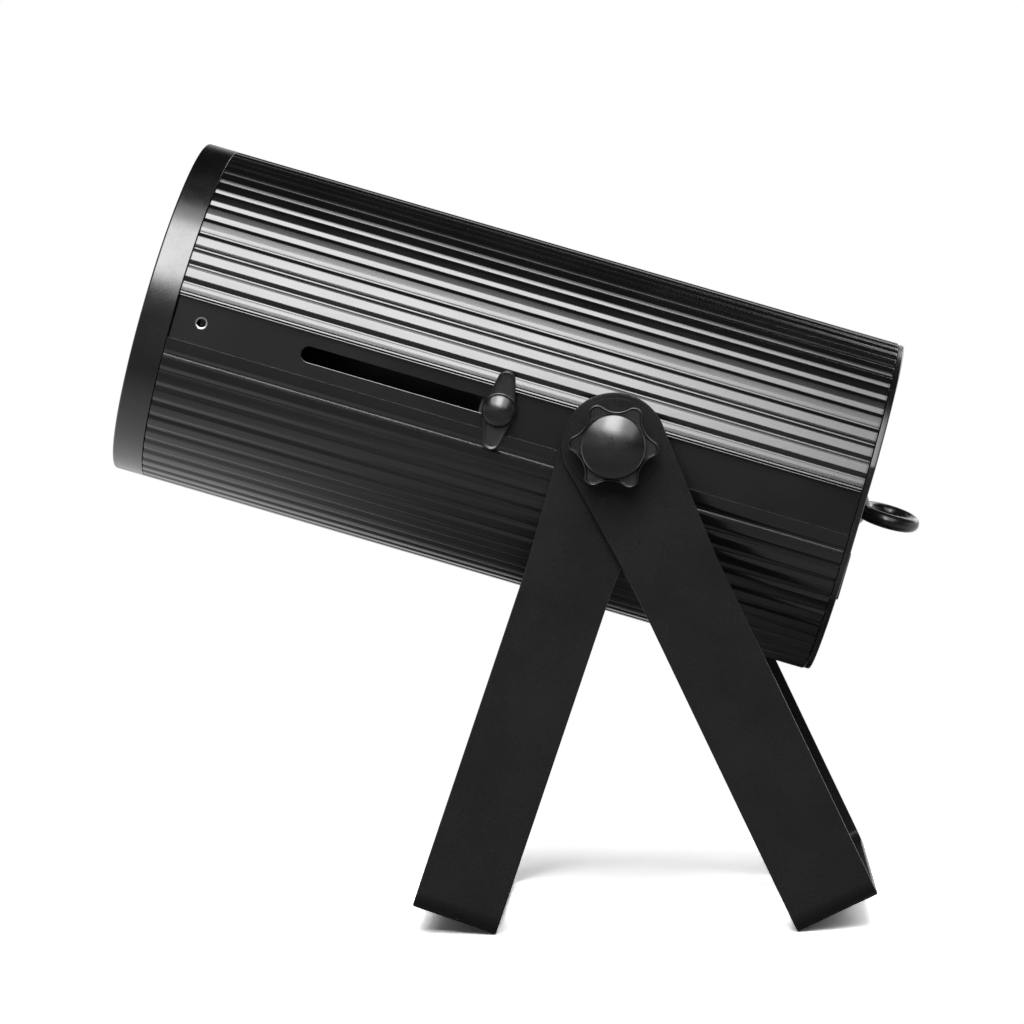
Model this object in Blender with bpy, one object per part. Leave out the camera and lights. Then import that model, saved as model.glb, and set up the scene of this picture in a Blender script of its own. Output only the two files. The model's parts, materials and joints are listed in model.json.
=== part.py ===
"""LED house light: a ribbed tube head with a sliding zoom lens, on a double strap yoke.

The head's own frame has X across, Y along the tube towards the rear, and Z up, with its
origin on the tilt pivot. The empty "head" turns that frame to the resting tilt. Each yoke
hangs down its own -Z from the pivot and is leaned by its own empty.
"""

import math

import bmesh
import bpy
from mathutils import Matrix, Vector

MM = 0.001
GAP = 0.3 * MM  # between touching pieces
OVERCUT = 1 * MM  # how far a cutter runs past the face that it opens
EMPTY_SIZE = 20 * MM  # as drawn

# Stance
TILT = math.radians(17.3)  # front of the head raised
FRONT_LEAN = math.radians(19.7)  # front yoke's foot towards -Y
YOKE_LENGTH = 316 * MM  # pivot to the outside of the front yoke's bridge
YOKE_NESTING = 4.5 * MM  # from the front yoke's bridge to the rear yoke's, folded

# Tube shells
TUBE_RADIUS = 110 * MM  # over the rib crests
TUBE_WALL = 4.5 * MM
RIB_PITCH = math.radians(6)
RIB_DEPTH = 1.8 * MM
RIB_SHARPNESS = 1.5  # above 1 the grooves are narrower than the crests
BAND_INSET = 5.2 * MM  # from the rib crests in to the flat side band
BAND_HALF = 14.1 * MM  # half the band's height
BAND_WALL = 4 * MM
SEAM_HEIGHT = 14.9 * MM  # where the two shells meet
TUBE_LENGTH = 446.5 * MM
SHELL_REAR = 157 * MM  # from the pivot back to the shells' end
PORT_RADIUS = 5 * MM  # screw ports inside the shells
PORT_INSET = 2 * MM  # from the bore in to a port's centre
PORT_ANGLES = [math.radians(a) for a in (50, 130, 230, 310)]
THREAD_HOLE_RADIUS = 2.9 * MM
THREAD_HOLE_CHAMFER = 0.9 * MM
THREAD_HOLE_INSET = 17.9 * MM  # from the shells' front end

# Zoom
ZOOM_REST = -75.5 * MM  # the wing knob's place on the tube, lens fully back
ZOOM_TRAVEL = 125 * MM  # forward from there
SLOT_WIDTH = 10 * MM

# Front ring and glass
RING_LENGTH = 20 * MM
RING_LIP = 3 * MM
GLASS_SHELF = 4.2 * MM  # width of the ring's lip in front of the glass
RING_EDGE = 0.8 * MM
SPIGOT_LENGTH = 8 * MM
SPIGOT_WALL = 3 * MM
GASKET_THICK = 1.5 * MM
GLASS_THICK = 4 * MM
RETAINER_THICK = 5 * MM
RETAINER_LAND = 7.5 * MM  # from a rod's axis in to the retainer's bore

# Rear plate
PLATE_THICK = 4 * MM
PLATE_INSET = 0.6 * MM  # inside the rib crests
PLATE_LEDGE = 0.5 * MM  # its flats beyond the side bands
PLATE_CHAMFER = 0.8 * MM
SCREW_RADIUS = 2 * MM
SCREW_LENGTH = 16 * MM  # under the head
PILOT_SPARE = 2 * MM  # depth of a pilot hole beyond its screw
SCREW_HEAD_RADIUS = 3.8 * MM
SCREW_HEAD_HEIGHT = 2.2 * MM
SCREW_HEAD_LAND = 0.3 * MM  # straight rim of the countersunk head

# Lifting eye, the size of a common M10 eye bolt
EYE_HEIGHT = 42.4 * MM
EYE_TURN = math.radians(8)  # as screwed in, its +X side down
EYE_OUTER = 42.4 * MM
EYE_INNER = 22.6 * MM
EYE_COLLAR = 25 * MM
EYE_COLLAR_HEIGHT = 7 * MM
EYE_STUD = 10 * MM
EYE_STUD_LENGTH = 17 * MM
EYE_NUT_WIDTH = 17 * MM
EYE_NUT_THICK = 8 * MM

# Yokes
STRAP_WIDTH = 55.4 * MM
STRAP_THICK = 4 * MM
YOKE_HEAD_RADIUS = 32.7 * MM
YOKE_TOP = math.radians(86)  # where the round head ends in a small flat
YOKE_TAPER = 90 * MM  # from the pivot down to the strap's full straightness
YOKE_BEND = 12 * MM  # outer radius
YOKE_CLEARANCE = 18 * MM  # from the rib crests to the front yoke's arms
CLAMP_HOLE_RADIUS = 6.5 * MM

# Pivot stack
STUD_RADIUS = 5 * MM
STUD_ENGAGEMENT = 12 * MM  # into the clamping knob
WASHER_THICK = 1.2 * MM
WASHER_RADIUS = 24 * MM
OUTER_WASHER_THICK = 1.5 * MM
OUTER_WASHER_RADIUS = 29.5 * MM
SPACER_RADIUS = 13.5 * MM  # clear of the ribs beside the band
BLOCK_LENGTH = 40 * MM
BLOCK_HEIGHT = 30 * MM
BLOCK_THICK = 11.7 * MM

# Clamping knob
STAR_TIP = 28 * MM
STAR_VALLEY = 21.6 * MM
STAR_LOBES = 6
STAR_NOSE = 5.4 * MM  # radius of a lobe's blunt end
STAR_TURN = math.radians(12.5)
STAR_HUB_RADIUS = 14 * MM
STAR_HUB_HEIGHT = 6 * MM
STAR_BODY_HEIGHT = 12 * MM
STAR_EDGE = 1.6 * MM
STAR_CAP_RADIUS = 20.3 * MM
STAR_CAP_HEIGHT = 8 * MM
STAR_CAP_EDGE = 1 * MM

# Wing knob
WING_SPAN = 51 * MM
WING_ROOT = 20.4 * MM  # width where they meet the collar
WING_TIP = 11.2 * MM
WING_THICK = 6.5 * MM
WING_CLEARANCE = 1.5 * MM  # over the rib crests
WING_SINK = 0.5 * MM  # the wings' face below the collar's
WING_COLLAR_RADIUS = 11 * MM
WING_COLLAR_EDGE = 1 * MM
WING_DOME_RADIUS = 9.3 * MM
WING_DOME_HEIGHT = 6.5 * MM
WING_LEAN = math.radians(2.4)  # of the upper wing, towards the front
WING_STUD_RADIUS = 3 * MM

# Zoom carriage
CELL_MARGIN = 25.5 * MM  # from the bore to the lens cell, for the rods and the slide block
CELL_WALL = 5 * MM  # around the lens
CELL_LENGTH = 16 * MM
CELL_LIP = 2 * MM  # thickness of the lip behind the lens
LENS_THICK = 5 * MM
LENS_RIDGE = 2 * MM
LENS_RIDGES = 4
LENS_LIP = 5 * MM
LENS_RING_WIDTH = 3 * MM
LENS_RING_THICK = 2.5 * MM
ROD_RADIUS = 4 * MM
ROD_OFFSET = 7.5 * MM  # from the cell to a rod's axis
ROD_FLOOR = 1 * MM  # left of each plate under a rod's blind hole
LUG_WIDTH = 18 * MM
LUG_CAP = 8.5 * MM  # from a rod's axis to the lug's end
LUG_ROOT = 3 * MM  # sunk into the cell's rim
LUG_INSET = 0.5 * MM  # behind the cell's two faces
SHOE_LENGTH = 26 * MM
SHOE_HEIGHT = 20 * MM
SHOE_FLOOR = 2 * MM  # left under the stud's blind hole

# Light engine
ZOOM_CLEARANCE = 5.2 * MM  # from the reflector to the resting lens cell
MOUNT_PLATE_THICK = 5 * MM
LED_BOARD_SIZE = 40 * MM
LED_BOARD_THICK = 1.7 * MM
EMITTER_RADIUS = 14 * MM
EMITTER_THICK = 0.9 * MM
REFLECTOR_SMALL = 16 * MM
REFLECTOR_LARGE = 44 * MM
REFLECTOR_LENGTH = 20 * MM
REFLECTOR_WALL = 1.5 * MM
SINK_LENGTH = 94 * MM
SINK_HUB = 24 * MM
SINK_INSET = 14.5 * MM  # inside the screw ports
SINK_FINS = 20
SINK_FIN_THICK = 2.6 * MM

# Driver
TRAY_THICK = 2 * MM
TRAY_MARGIN = 3 * MM  # each end of the driver
DRIVER_GAP = 4 * MM  # from the heat sink to the tray
DRIVER_WIDTH = 120 * MM
DRIVER_LENGTH = 56 * MM
DRIVER_HEIGHT = 36 * MM

# Rear panel
BOARD_WIDTH = 96 * MM
BOARD_HEIGHT = 46 * MM
BOARD_THICK = 1.6 * MM
BOARD_DROP = 10 * MM  # from the window's middle down to the board's
BOARD_OFFSET = 5 * MM  # from the rear plate to the board
WINDOW_WIDTH = 46 * MM
WINDOW_HEIGHT = 18 * MM
WINDOW_PROUD = 0.6 * MM
WINDOW_INSET = 43.4 * MM  # from the plate's top edge to the window's middle
BUTTON_RADIUS = 4 * MM
BUTTON_PROUD = 2.6 * MM
BUTTON_EDGE = 0.5 * MM
BUTTON_TRAVEL = 1.2 * MM
BUTTON_PITCH = 17 * MM
BUTTON_DROP = 22 * MM  # below the window's middle
SOCKET_WIDTH = 26 * MM
SOCKET_HEIGHT = 31 * MM
SOCKET_CORNER = 3 * MM
SOCKET_FLANGE = 2 * MM
SOCKET_BARREL = 12 * MM
SOCKET_DEPTH = 24 * MM
SOCKET_RECESS = 9.5 * MM
SOCKET_RECESS_DEPTH = 12 * MM
SOCKET_INSET = 67.4 * MM  # above the plate's bottom edge
SOCKET_PITCH = 36 * MM
FUSE_RADIUS = 8.5 * MM
FUSE_BARREL = 6 * MM
FUSE_DEPTH = 20 * MM
FUSE_INSET = 29.4 * MM  # above the plate's bottom edge

LARGE_SEGMENTS = 64
MIDDLE_SEGMENTS = 40
KNOB_SEGMENTS = 24
SMALL_SEGMENTS = 12
SCREW_SEGMENTS = 8
POINTS_PER_RIB = 8
NOSE_STEPS = 4
HOLLOW_STEPS = 6

# Sizes that follow from the ones above
TUBE_BORE = TUBE_RADIUS - TUBE_WALL
BAND_FACE = TUBE_RADIUS - BAND_INSET  # X of the flat side band
PORT_CENTRE = TUBE_BORE - PORT_INSET
SHELL_FRONT = SHELL_REAR - TUBE_LENGTH
THREAD_HOLE_PLACE = SHELL_FRONT + THREAD_HOLE_INSET
YOKE_FACE = TUBE_RADIUS + YOKE_CLEARANCE + STRAP_THICK  # X of the front yoke's outer face
SHOULDER = YOKE_FACE - STRAP_THICK  # inner face of the front yoke's arm
REAR_YOKE_LENGTH = YOKE_LENGTH + YOKE_NESTING + STRAP_THICK
REAR_YOKE_FACE = YOKE_FACE + WASHER_THICK + 2 * GAP + STRAP_THICK
OUTER_WASHER_FACE = REAR_YOKE_FACE + GAP + OUTER_WASHER_THICK
KNOB_BASE = OUTER_WASHER_FACE + GAP
STUD_END = KNOB_BASE + STUD_ENGAGEMENT
BAND_INSIDE = BAND_FACE - BAND_WALL
SLOT_REAR = ZOOM_REST + SLOT_WIDTH / 2 + GAP
SLOT_FRONT = ZOOM_REST - ZOOM_TRAVEL - SLOT_WIDTH / 2 - GAP
PORT_REACH = PORT_CENTRE - PORT_RADIUS  # radius left free inside the screw ports
RING_FRONT = SHELL_FRONT - GAP - RING_LENGTH
SPIGOT_RADIUS = PORT_REACH - GAP
SPIGOT_BORE = SPIGOT_RADIUS - SPIGOT_WALL
RING_APERTURE = SPIGOT_BORE - GLASS_SHELF
PLATE_RADIUS = TUBE_RADIUS - PLATE_INSET
PLATE_FLAT = BAND_FACE + PLATE_LEDGE
PLATE_FRONT = SHELL_REAR + GAP
PLATE_REAR = PLATE_FRONT + PLATE_THICK
WINDOW_PLACE = PLATE_RADIUS - WINDOW_INSET
BUTTON_PLACE = WINDOW_PLACE - BUTTON_DROP
BOARD_PLACE = WINDOW_PLACE - BOARD_DROP
SOCKET_PLACE = SOCKET_INSET - PLATE_RADIUS
FUSE_PLACE = FUSE_INSET - PLATE_RADIUS
PILOT_DEPTH = SCREW_LENGTH - PLATE_THICK + PILOT_SPARE
GASKET_FRONT = RING_FRONT + RING_LIP + GAP
GLASS_FRONT = GASKET_FRONT + GASKET_THICK + GAP
RETAINER_FRONT = GLASS_FRONT + GLASS_THICK + GAP
RETAINER_REAR = RETAINER_FRONT + RETAINER_THICK
CELL_RADIUS = TUBE_BORE - CELL_MARGIN
LENS_RADIUS = CELL_RADIUS - CELL_WALL
ROD_PLACE = CELL_RADIUS + ROD_OFFSET  # of the rods above and below the axis
RETAINER_BORE = ROD_PLACE - RETAINER_LAND
LUG_REACH = ROD_PLACE + LUG_CAP
REFLECTOR_FRONT = ZOOM_REST + CELL_LENGTH / 2 + ZOOM_CLEARANCE
EMITTER_REAR = REFLECTOR_FRONT + REFLECTOR_LENGTH
MOUNT_PLATE_FRONT = EMITTER_REAR + LED_BOARD_THICK + 2 * GAP
MOUNT_PLATE_REAR = MOUNT_PLATE_FRONT + MOUNT_PLATE_THICK
SINK_RADIUS = PORT_REACH - SINK_INSET
SINK_FRONT = MOUNT_PLATE_REAR + GAP
TRAY_FRONT = SINK_FRONT + SINK_LENGTH + DRIVER_GAP
TRAY_LENGTH = DRIVER_LENGTH + 2 * TRAY_MARGIN
TRAY_HEIGHT = PORT_CENTRE * math.sin(PORT_ANGLES[-1]) + PORT_RADIUS + GAP  # on the lower ports
PIVOT_HEIGHT = YOKE_LENGTH * math.cos(FRONT_LEAN) + STRAP_WIDTH / 2 * math.sin(FRONT_LEAN)
FRONT_REACH = -RING_FRONT * math.cos(TILT) + TUBE_RADIUS * math.sin(TILT)
EYE_ROD = (EYE_OUTER - EYE_INNER) / 4  # radius of the eye's round section
EYE_REACH = PLATE_REAR + GAP + EYE_HEIGHT - EYE_ROD
REAR_REACH = EYE_REACH * math.cos(TILT) + EYE_ROD
PIVOT_Y = (FRONT_REACH - REAR_REACH) / 2  # puts the origin under the middle of the whole

# Directions across and along each axis: first, second, along
PLANES = {
    "X": (Vector((0, 1, 0)), Vector((0, 0, 1)), Vector((1, 0, 0))),
    "Y": (Vector((1, 0, 0)), Vector((0, 0, 1)), Vector((0, 1, 0))),
    "Z": (Vector((1, 0, 0)), Vector((0, 1, 0)), Vector((0, 0, 1))),
}


def clear_scene():
    for obj in list(bpy.data.objects):
        bpy.data.objects.remove(obj, do_unlink=True)


def make_material(name, colour, roughness, metallic=0.0, alpha=1.0):
    material = bpy.data.materials.new(name)
    material.use_nodes = True
    shader = material.node_tree.nodes["Principled BSDF"]
    shader.inputs["Base Color"].default_value = (*colour, 1)
    shader.inputs["Roughness"].default_value = roughness
    shader.inputs["Metallic"].default_value = metallic
    shader.inputs["Alpha"].default_value = alpha
    return material


def make_materials():
    return {
        "powder_black": make_material("powder_black", (0.022, 0.022, 0.023), 0.38),
        "knob_black": make_material("knob_black", (0.02, 0.02, 0.02), 0.45),
        "cap_black": make_material("cap_black", (0.018, 0.018, 0.018), 0.3),
        "fibre": make_material("fibre", (0.05, 0.048, 0.045), 0.8),
        "zinc_steel": make_material("zinc_steel", (0.55, 0.55, 0.54), 0.35, 1),
        "black_steel": make_material("black_steel", (0.03, 0.03, 0.03), 0.4, 0.6),
        "bare_aluminium": make_material("bare_aluminium", (0.75, 0.75, 0.76), 0.4, 1),
        "clear_glass": make_material("clear_glass", (0.9, 0.93, 0.93), 0.05, 0, 0.3),
        "lens_acrylic": make_material("lens_acrylic", (0.92, 0.93, 0.94), 0.1, 0, 0.45),
        "silicone": make_material("silicone", (0.04, 0.04, 0.04), 0.7),
        "board_green": make_material("board_green", (0.02, 0.11, 0.05), 0.5),
        "ceramic_white": make_material("ceramic_white", (0.8, 0.8, 0.78), 0.5),
        "phosphor": make_material("phosphor", (0.85, 0.72, 0.2), 0.5),
        "mirror_finish": make_material("mirror_finish", (0.85, 0.85, 0.85), 0.1, 1),
        "case_grey": make_material("case_grey", (0.35, 0.36, 0.37), 0.5),
        "window_dark": make_material("window_dark", (0.01, 0.01, 0.012), 0.12),
        "button_grey": make_material("button_grey", (0.12, 0.12, 0.12), 0.5),
        "socket_black": make_material("socket_black", (0.025, 0.025, 0.027), 0.5),
    }


def make_empty(name, parent=None, location=(0, 0, 0), turn=(0, 0, 0)):
    empty = bpy.data.objects.new(name, None)
    empty.empty_display_size = EMPTY_SIZE
    bpy.context.scene.collection.objects.link(empty)
    empty.parent = parent
    empty.location = location
    empty.rotation_euler = turn
    return empty


def make_object(name, bm, parent, material=None, location=(0, 0, 0), turn=(0, 0, 0)):
    """One object from a bmesh, with its faces turned outwards and its round parts smooth."""
    bmesh.ops.recalc_face_normals(bm, faces=bm.faces)
    mesh = bpy.data.meshes.new(name)
    bm.to_mesh(mesh)
    bm.free()
    mesh.shade_smooth()
    mesh.set_sharp_from_angle(angle=math.radians(35))
    obj = bpy.data.objects.new(name, mesh)
    bpy.context.scene.collection.objects.link(obj)
    if material:
        mesh.materials.append(material)
    obj.parent = parent
    obj.location = location
    obj.rotation_euler = turn
    return obj


def combine(obj, name, bm, operation="DIFFERENCE"):
    """Adds a helper shape in obj's own frame, and joins it to obj or cuts it away."""
    helper = make_object(f"{obj.name}_{name}", bm, obj)
    helper.hide_render = True
    helper.display_type = "WIRE"
    modifier = obj.modifiers.new(name, "BOOLEAN")
    modifier.operation = operation
    modifier.object = helper
    return obj


def loft(bm, loops, wrap=False):
    """Quads between successive loops of points, with the ends capped or joined round."""
    rows = [[bm.verts.new(point) for point in loop] for loop in loops]
    pairs = list(zip(rows, rows[1:]))
    if wrap:
        pairs.append((rows[-1], rows[0]))
    else:
        bm.faces.new(rows[0][::-1])
        bm.faces.new(rows[-1])
    count = len(rows[0])
    for near, far in pairs:
        for i in range(count):
            j = (i + 1) % count
            bm.faces.new((near[i], near[j], far[j], far[i]))
    return bm


def flat_loop(outline, height, axis):
    first, second, along = PLANES[axis]
    return [first * u + second * v + along * height for u, v in outline]


def prism(outline, low, high, axis, bm=None):
    """The outline, in the plane across the axis, extruded from low to high along it."""
    loops = [flat_loop(outline, low, axis), flat_loop(outline, high, axis)]
    return loft(bm or bmesh.new(), loops)


def circle(radius, segments, centre=(0, 0), start=0.0):
    step = math.tau / segments
    return [
        (
            centre[0] + radius * math.cos(start + i * step),
            centre[1] + radius * math.sin(start + i * step),
        )
        for i in range(segments)
    ]


def rectangle(width, height, centre=(0, 0)):
    x, y = width / 2, height / 2
    return [(centre[0] + a * x, centre[1] + b * y) for a, b in ((-1, -1), (1, -1), (1, 1), (-1, 1))]


def turned(profile, segments, axis, centre=(0, 0), bm=None):
    """A solid of revolution from (radius, height) pairs, capped flat at both ends."""
    loops = [flat_loop(circle(r, segments, centre), h, axis) for r, h in profile]
    return loft(bm or bmesh.new(), loops)


def ring(profile, segments, axis, bm=None):
    """A ring whose section is the closed outline of (radius, height) pairs."""
    first, second, along = PLANES[axis]
    loops = []
    for i in range(segments):
        angle = math.tau * i / segments
        out = first * math.cos(angle) + second * math.sin(angle)
        loops.append([out * r + along * h for r, h in profile])
    return loft(bm or bmesh.new(), loops, wrap=True)


def washer_profile(inner, outer, low, high):
    return [(inner, low), (outer, low), (outer, high), (inner, high)]


def arc(centre, radius, start, end, steps):
    """Points on an arc, both ends included."""
    return [
        (
            centre[0] + radius * math.cos(start + (end - start) * i / steps),
            centre[1] + radius * math.sin(start + (end - start) * i / steps),
        )
        for i in range(steps + 1)
    ]


# Tube outline


def rib_radius(angle):
    """Outer radius at an angle round the tube: a rounded groove at each whole rib pitch."""
    wave = 0.5 + 0.5 * math.cos(math.tau * angle / RIB_PITCH)
    return TUBE_RADIUS - RIB_DEPTH * wave**RIB_SHARPNESS


def edge_point(height):
    """The point of the ribbed outline on the +X side at a height above the axis."""
    radius = rib_radius(math.asin(height / TUBE_RADIUS))
    return math.sqrt(radius**2 - height**2), height


def ribbed_arc(start, end):
    """Outline points strictly between two angles."""
    step = RIB_PITCH / POINTS_PER_RIB
    first, last = math.floor(start / step) + 1, math.ceil(end / step) - 1
    points = []
    for i in range(first, last + 1):
        angle = i * step
        if min(angle - start, end - angle) > 0.2 * step:
            radius = rib_radius(angle)
            points.append((radius * math.cos(angle), radius * math.sin(angle)))
    return points


def port_points(angle):
    """The bulge of one screw port into the bore, in order of rising angle."""
    meet = math.acos(
        (TUBE_BORE**2 + PORT_CENTRE**2 - PORT_RADIUS**2) / (2 * TUBE_BORE * PORT_CENTRE)
    )
    side = math.atan2(
        TUBE_BORE * math.sin(meet), TUBE_BORE * math.cos(meet) - PORT_CENTRE
    )
    centre = (PORT_CENTRE * math.cos(angle), PORT_CENTRE * math.sin(angle))
    return arc(centre, PORT_RADIUS, angle - side, angle + side - math.tau, 8)


def bore_arc(start, end):
    """The shells' inside between two angles, with the flats behind the bands and the ports."""
    flat = math.acos(BAND_INSIDE / TUBE_BORE)
    step = math.tau / LARGE_SEGMENTS
    corners = [k * math.pi + s * flat for k in range(-1, 3) for s in (-1, 1)]
    angles = [a for a in corners if start < a < end]
    angles += [i * step for i in range(-LARGE_SEGMENTS, LARGE_SEGMENTS) if start < i * step < end]
    reach = PORT_RADIUS / TUBE_BORE * 1.15
    ports = [a for a in PORT_ANGLES if start < a < end]
    points = []
    for angle in sorted(angles):
        on_flat = abs(TUBE_BORE * math.cos(angle)) > BAND_INSIDE + 1e-6
        near_corner = min(abs(angle - c) for c in corners) < 0.25 * step and angle not in corners
        near_port = any(abs(angle - p) < reach for p in ports)
        if not (on_flat or near_corner or near_port):
            points.append((angle, [(TUBE_BORE * math.cos(angle), TUBE_BORE * math.sin(angle))]))
    points += [(p, port_points(p)) for p in ports]
    return [point for _, group in sorted(points, key=lambda item: item[0]) for point in group]


def upper_outline():
    x, z = edge_point(SEAM_HEIGHT + GAP / 2)
    start = math.atan2(z, x)
    outer = [(x, z), *ribbed_arc(start, math.pi - start), (-x, z)]
    return outer + [(-BAND_INSIDE, z), *bore_arc(0, math.pi)[::-1], (BAND_INSIDE, z)]


def lower_outline():
    x, z = edge_point(-BAND_HALF)
    top = SEAM_HEIGHT - GAP / 2
    start = math.atan2(z, x)
    outer = [(-BAND_FACE, top), (-BAND_FACE, z), (-x, z)]
    outer += ribbed_arc(math.pi - start, math.tau + start)
    outer += [(x, z), (BAND_FACE, z), (BAND_FACE, top)]
    return outer + [(BAND_INSIDE, top), *bore_arc(math.pi, math.tau)[::-1], (-BAND_INSIDE, top)]


def clipped_circle(radius, half_width, segments):
    """A circle with flats at X = +half_width and -half_width."""
    flat = math.acos(half_width / radius)
    steps = segments // 2
    top = arc((0, 0), radius, flat, math.pi - flat, steps)
    return top + [(-x, -z) for x, z in top]


def slot_outline(front, rear, width):
    """A slot along the tube in the Y-Z plane, with round ends."""
    half = width / 2
    rear_end = arc((rear - half, 0), half, -math.pi / 2, math.pi / 2, 8)
    return rear_end + arc((front + half, 0), half, math.pi / 2, 3 * math.pi / 2, 8)


def pilot_holes(bm):
    for angle in PORT_ANGLES:
        centre = (PORT_CENTRE * math.cos(angle), PORT_CENTRE * math.sin(angle))
        hole = circle(SCREW_RADIUS + GAP, SCREW_SEGMENTS, centre)
        prism(hole, SHELL_REAR - PILOT_DEPTH, SHELL_REAR + OVERCUT, "Y", bm)
    return bm


# Shells, ring, glass and rear plate


def build_shells(head, materials):
    upper = make_object(
        "upper_shell",
        prism(upper_outline(), SHELL_FRONT, SHELL_REAR, "Y"),
        head,
        materials["powder_black"],
    )
    combine(upper, "pilots", pilot_holes(bmesh.new()))
    lower = make_object(
        "lower_shell",
        prism(lower_outline(), SHELL_FRONT, SHELL_REAR, "Y"),
        head,
        materials["powder_black"],
    )
    cutter = pilot_holes(bmesh.new())
    across = TUBE_RADIUS
    prism(slot_outline(SLOT_FRONT, SLOT_REAR, SLOT_WIDTH), 0, across, "X", cutter)
    prism(circle(STUD_RADIUS + GAP, SMALL_SEGMENTS), -across, across, "X", cutter)
    place = (THREAD_HOLE_PLACE, 0)
    wide = THREAD_HOLE_RADIUS + THREAD_HOLE_CHAMFER
    profile = [
        (wide, -across),
        (wide, -BAND_FACE),
        (THREAD_HOLE_RADIUS, -BAND_FACE + THREAD_HOLE_CHAMFER),
        (THREAD_HOLE_RADIUS, BAND_FACE - THREAD_HOLE_CHAMFER),
        (wide, BAND_FACE),
        (wide, across),
    ]
    turned(profile, SMALL_SEGMENTS, "X", place, cutter)
    combine(lower, "openings", cutter)


def build_front(head, materials):
    profile = [
        (RING_APERTURE, RING_FRONT),
        (TUBE_RADIUS - RING_EDGE, RING_FRONT),
        (TUBE_RADIUS, RING_FRONT + RING_EDGE),
        (TUBE_RADIUS, SHELL_FRONT - GAP),
        (SPIGOT_RADIUS, SHELL_FRONT - GAP),
        (SPIGOT_RADIUS, SHELL_FRONT - GAP + SPIGOT_LENGTH),
        (SPIGOT_BORE, SHELL_FRONT - GAP + SPIGOT_LENGTH),
        (SPIGOT_BORE, RING_FRONT + RING_LIP),
        (RING_APERTURE, RING_FRONT + RING_LIP),
    ]
    make_object("front_ring", ring(profile, LARGE_SEGMENTS, "Y"), head, materials["powder_black"])
    inside = SPIGOT_BORE - GAP
    gasket = washer_profile(RING_APERTURE, inside, GASKET_FRONT, GASKET_FRONT + GASKET_THICK)
    make_object("glass_gasket", ring(gasket, KNOB_SEGMENTS, "Y"), head, materials["silicone"])
    glass = circle(inside, MIDDLE_SEGMENTS)
    make_object(
        "front_glass",
        prism(glass, GLASS_FRONT, GLASS_FRONT + GLASS_THICK, "Y"),
        head,
        materials["clear_glass"],
    )
    retainer = make_object(
        "glass_retaining_ring",
        ring(
            washer_profile(RETAINER_BORE, inside, RETAINER_FRONT, RETAINER_REAR),
            MIDDLE_SEGMENTS,
            "Y",
        ),
        head,
        materials["black_steel"],
    )
    holes = bmesh.new()
    for side in (-1, 1):
        hole = circle(ROD_RADIUS + GAP, SMALL_SEGMENTS, (0, side * ROD_PLACE))
        prism(hole, RETAINER_FRONT + ROD_FLOOR, RETAINER_REAR + OVERCUT, "Y", holes)
    combine(retainer, "rod_holes", holes)


def socket_places():
    names = ("power_inlet", "power_outlet", "data_input", "data_output")
    return {
        name: ((i - 1.5) * SOCKET_PITCH, SOCKET_PLACE) for i, name in enumerate(names)
    }


def button_places():
    return [((i - 1.5) * BUTTON_PITCH, BUTTON_PLACE) for i in range(4)]


def screw_places():
    return [(PORT_CENTRE * math.cos(a), PORT_CENTRE * math.sin(a)) for a in PORT_ANGLES]


def screw_head():
    """The countersunk part of a screw's profile, which ends just under its flush top."""
    return [
        (SCREW_RADIUS, PLATE_REAR - SCREW_HEAD_HEIGHT),
        (SCREW_HEAD_RADIUS, PLATE_REAR - SCREW_HEAD_LAND),
    ]


def build_rear(head, materials):
    outline = clipped_circle(PLATE_RADIUS, PLATE_FLAT, LARGE_SEGMENTS)
    shrink = (PLATE_RADIUS - PLATE_CHAMFER) / PLATE_RADIUS
    small = [(x * shrink, z * shrink) for x, z in outline]
    loops = [
        flat_loop(outline, PLATE_FRONT, "Y"),
        flat_loop(outline, PLATE_REAR - PLATE_CHAMFER, "Y"),
        flat_loop(small, PLATE_REAR, "Y"),
    ]
    plate = make_object("rear_plate", loft(bmesh.new(), loops), head, materials["powder_black"])
    low, high = PLATE_FRONT - OVERCUT, PLATE_REAR + OVERCUT
    cutter = prism(circle(EYE_STUD / 2 + GAP, SMALL_SEGMENTS), low, high, "Y")
    for place in socket_places().values():
        prism(circle(SOCKET_BARREL + GAP, SMALL_SEGMENTS, place), low, high, "Y", cutter)
    for place in button_places():
        prism(circle(BUTTON_RADIUS + GAP, SMALL_SEGMENTS, place), low, high, "Y", cutter)
    for place in screw_places():
        profile = [(radius + GAP, height) for radius, height in screw_head()]
        ends = ((SCREW_RADIUS + GAP, low), (SCREW_HEAD_RADIUS + GAP, high))
        turned([ends[0], *profile, ends[1]], SCREW_SEGMENTS, "Y", place, cutter)
    prism(circle(FUSE_BARREL + GAP, SMALL_SEGMENTS, (0, FUSE_PLACE)), low, high, "Y", cutter)
    window = rectangle(WINDOW_WIDTH + 2 * GAP, WINDOW_HEIGHT + 2 * GAP, (0, WINDOW_PLACE))
    prism(window, low, high, "Y", cutter)
    combine(plate, "openings", cutter)

    tip = (SCREW_RADIUS, PLATE_REAR - SCREW_LENGTH)
    profile = [tip, *screw_head(), (SCREW_HEAD_RADIUS, PLATE_REAR)]
    for i, place in enumerate(screw_places(), 1):
        make_object(
            f"rear_plate_screw_{i}",
            turned(profile, SCREW_SEGMENTS, "Y", place),
            head,
            materials["black_steel"],
        )


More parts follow.
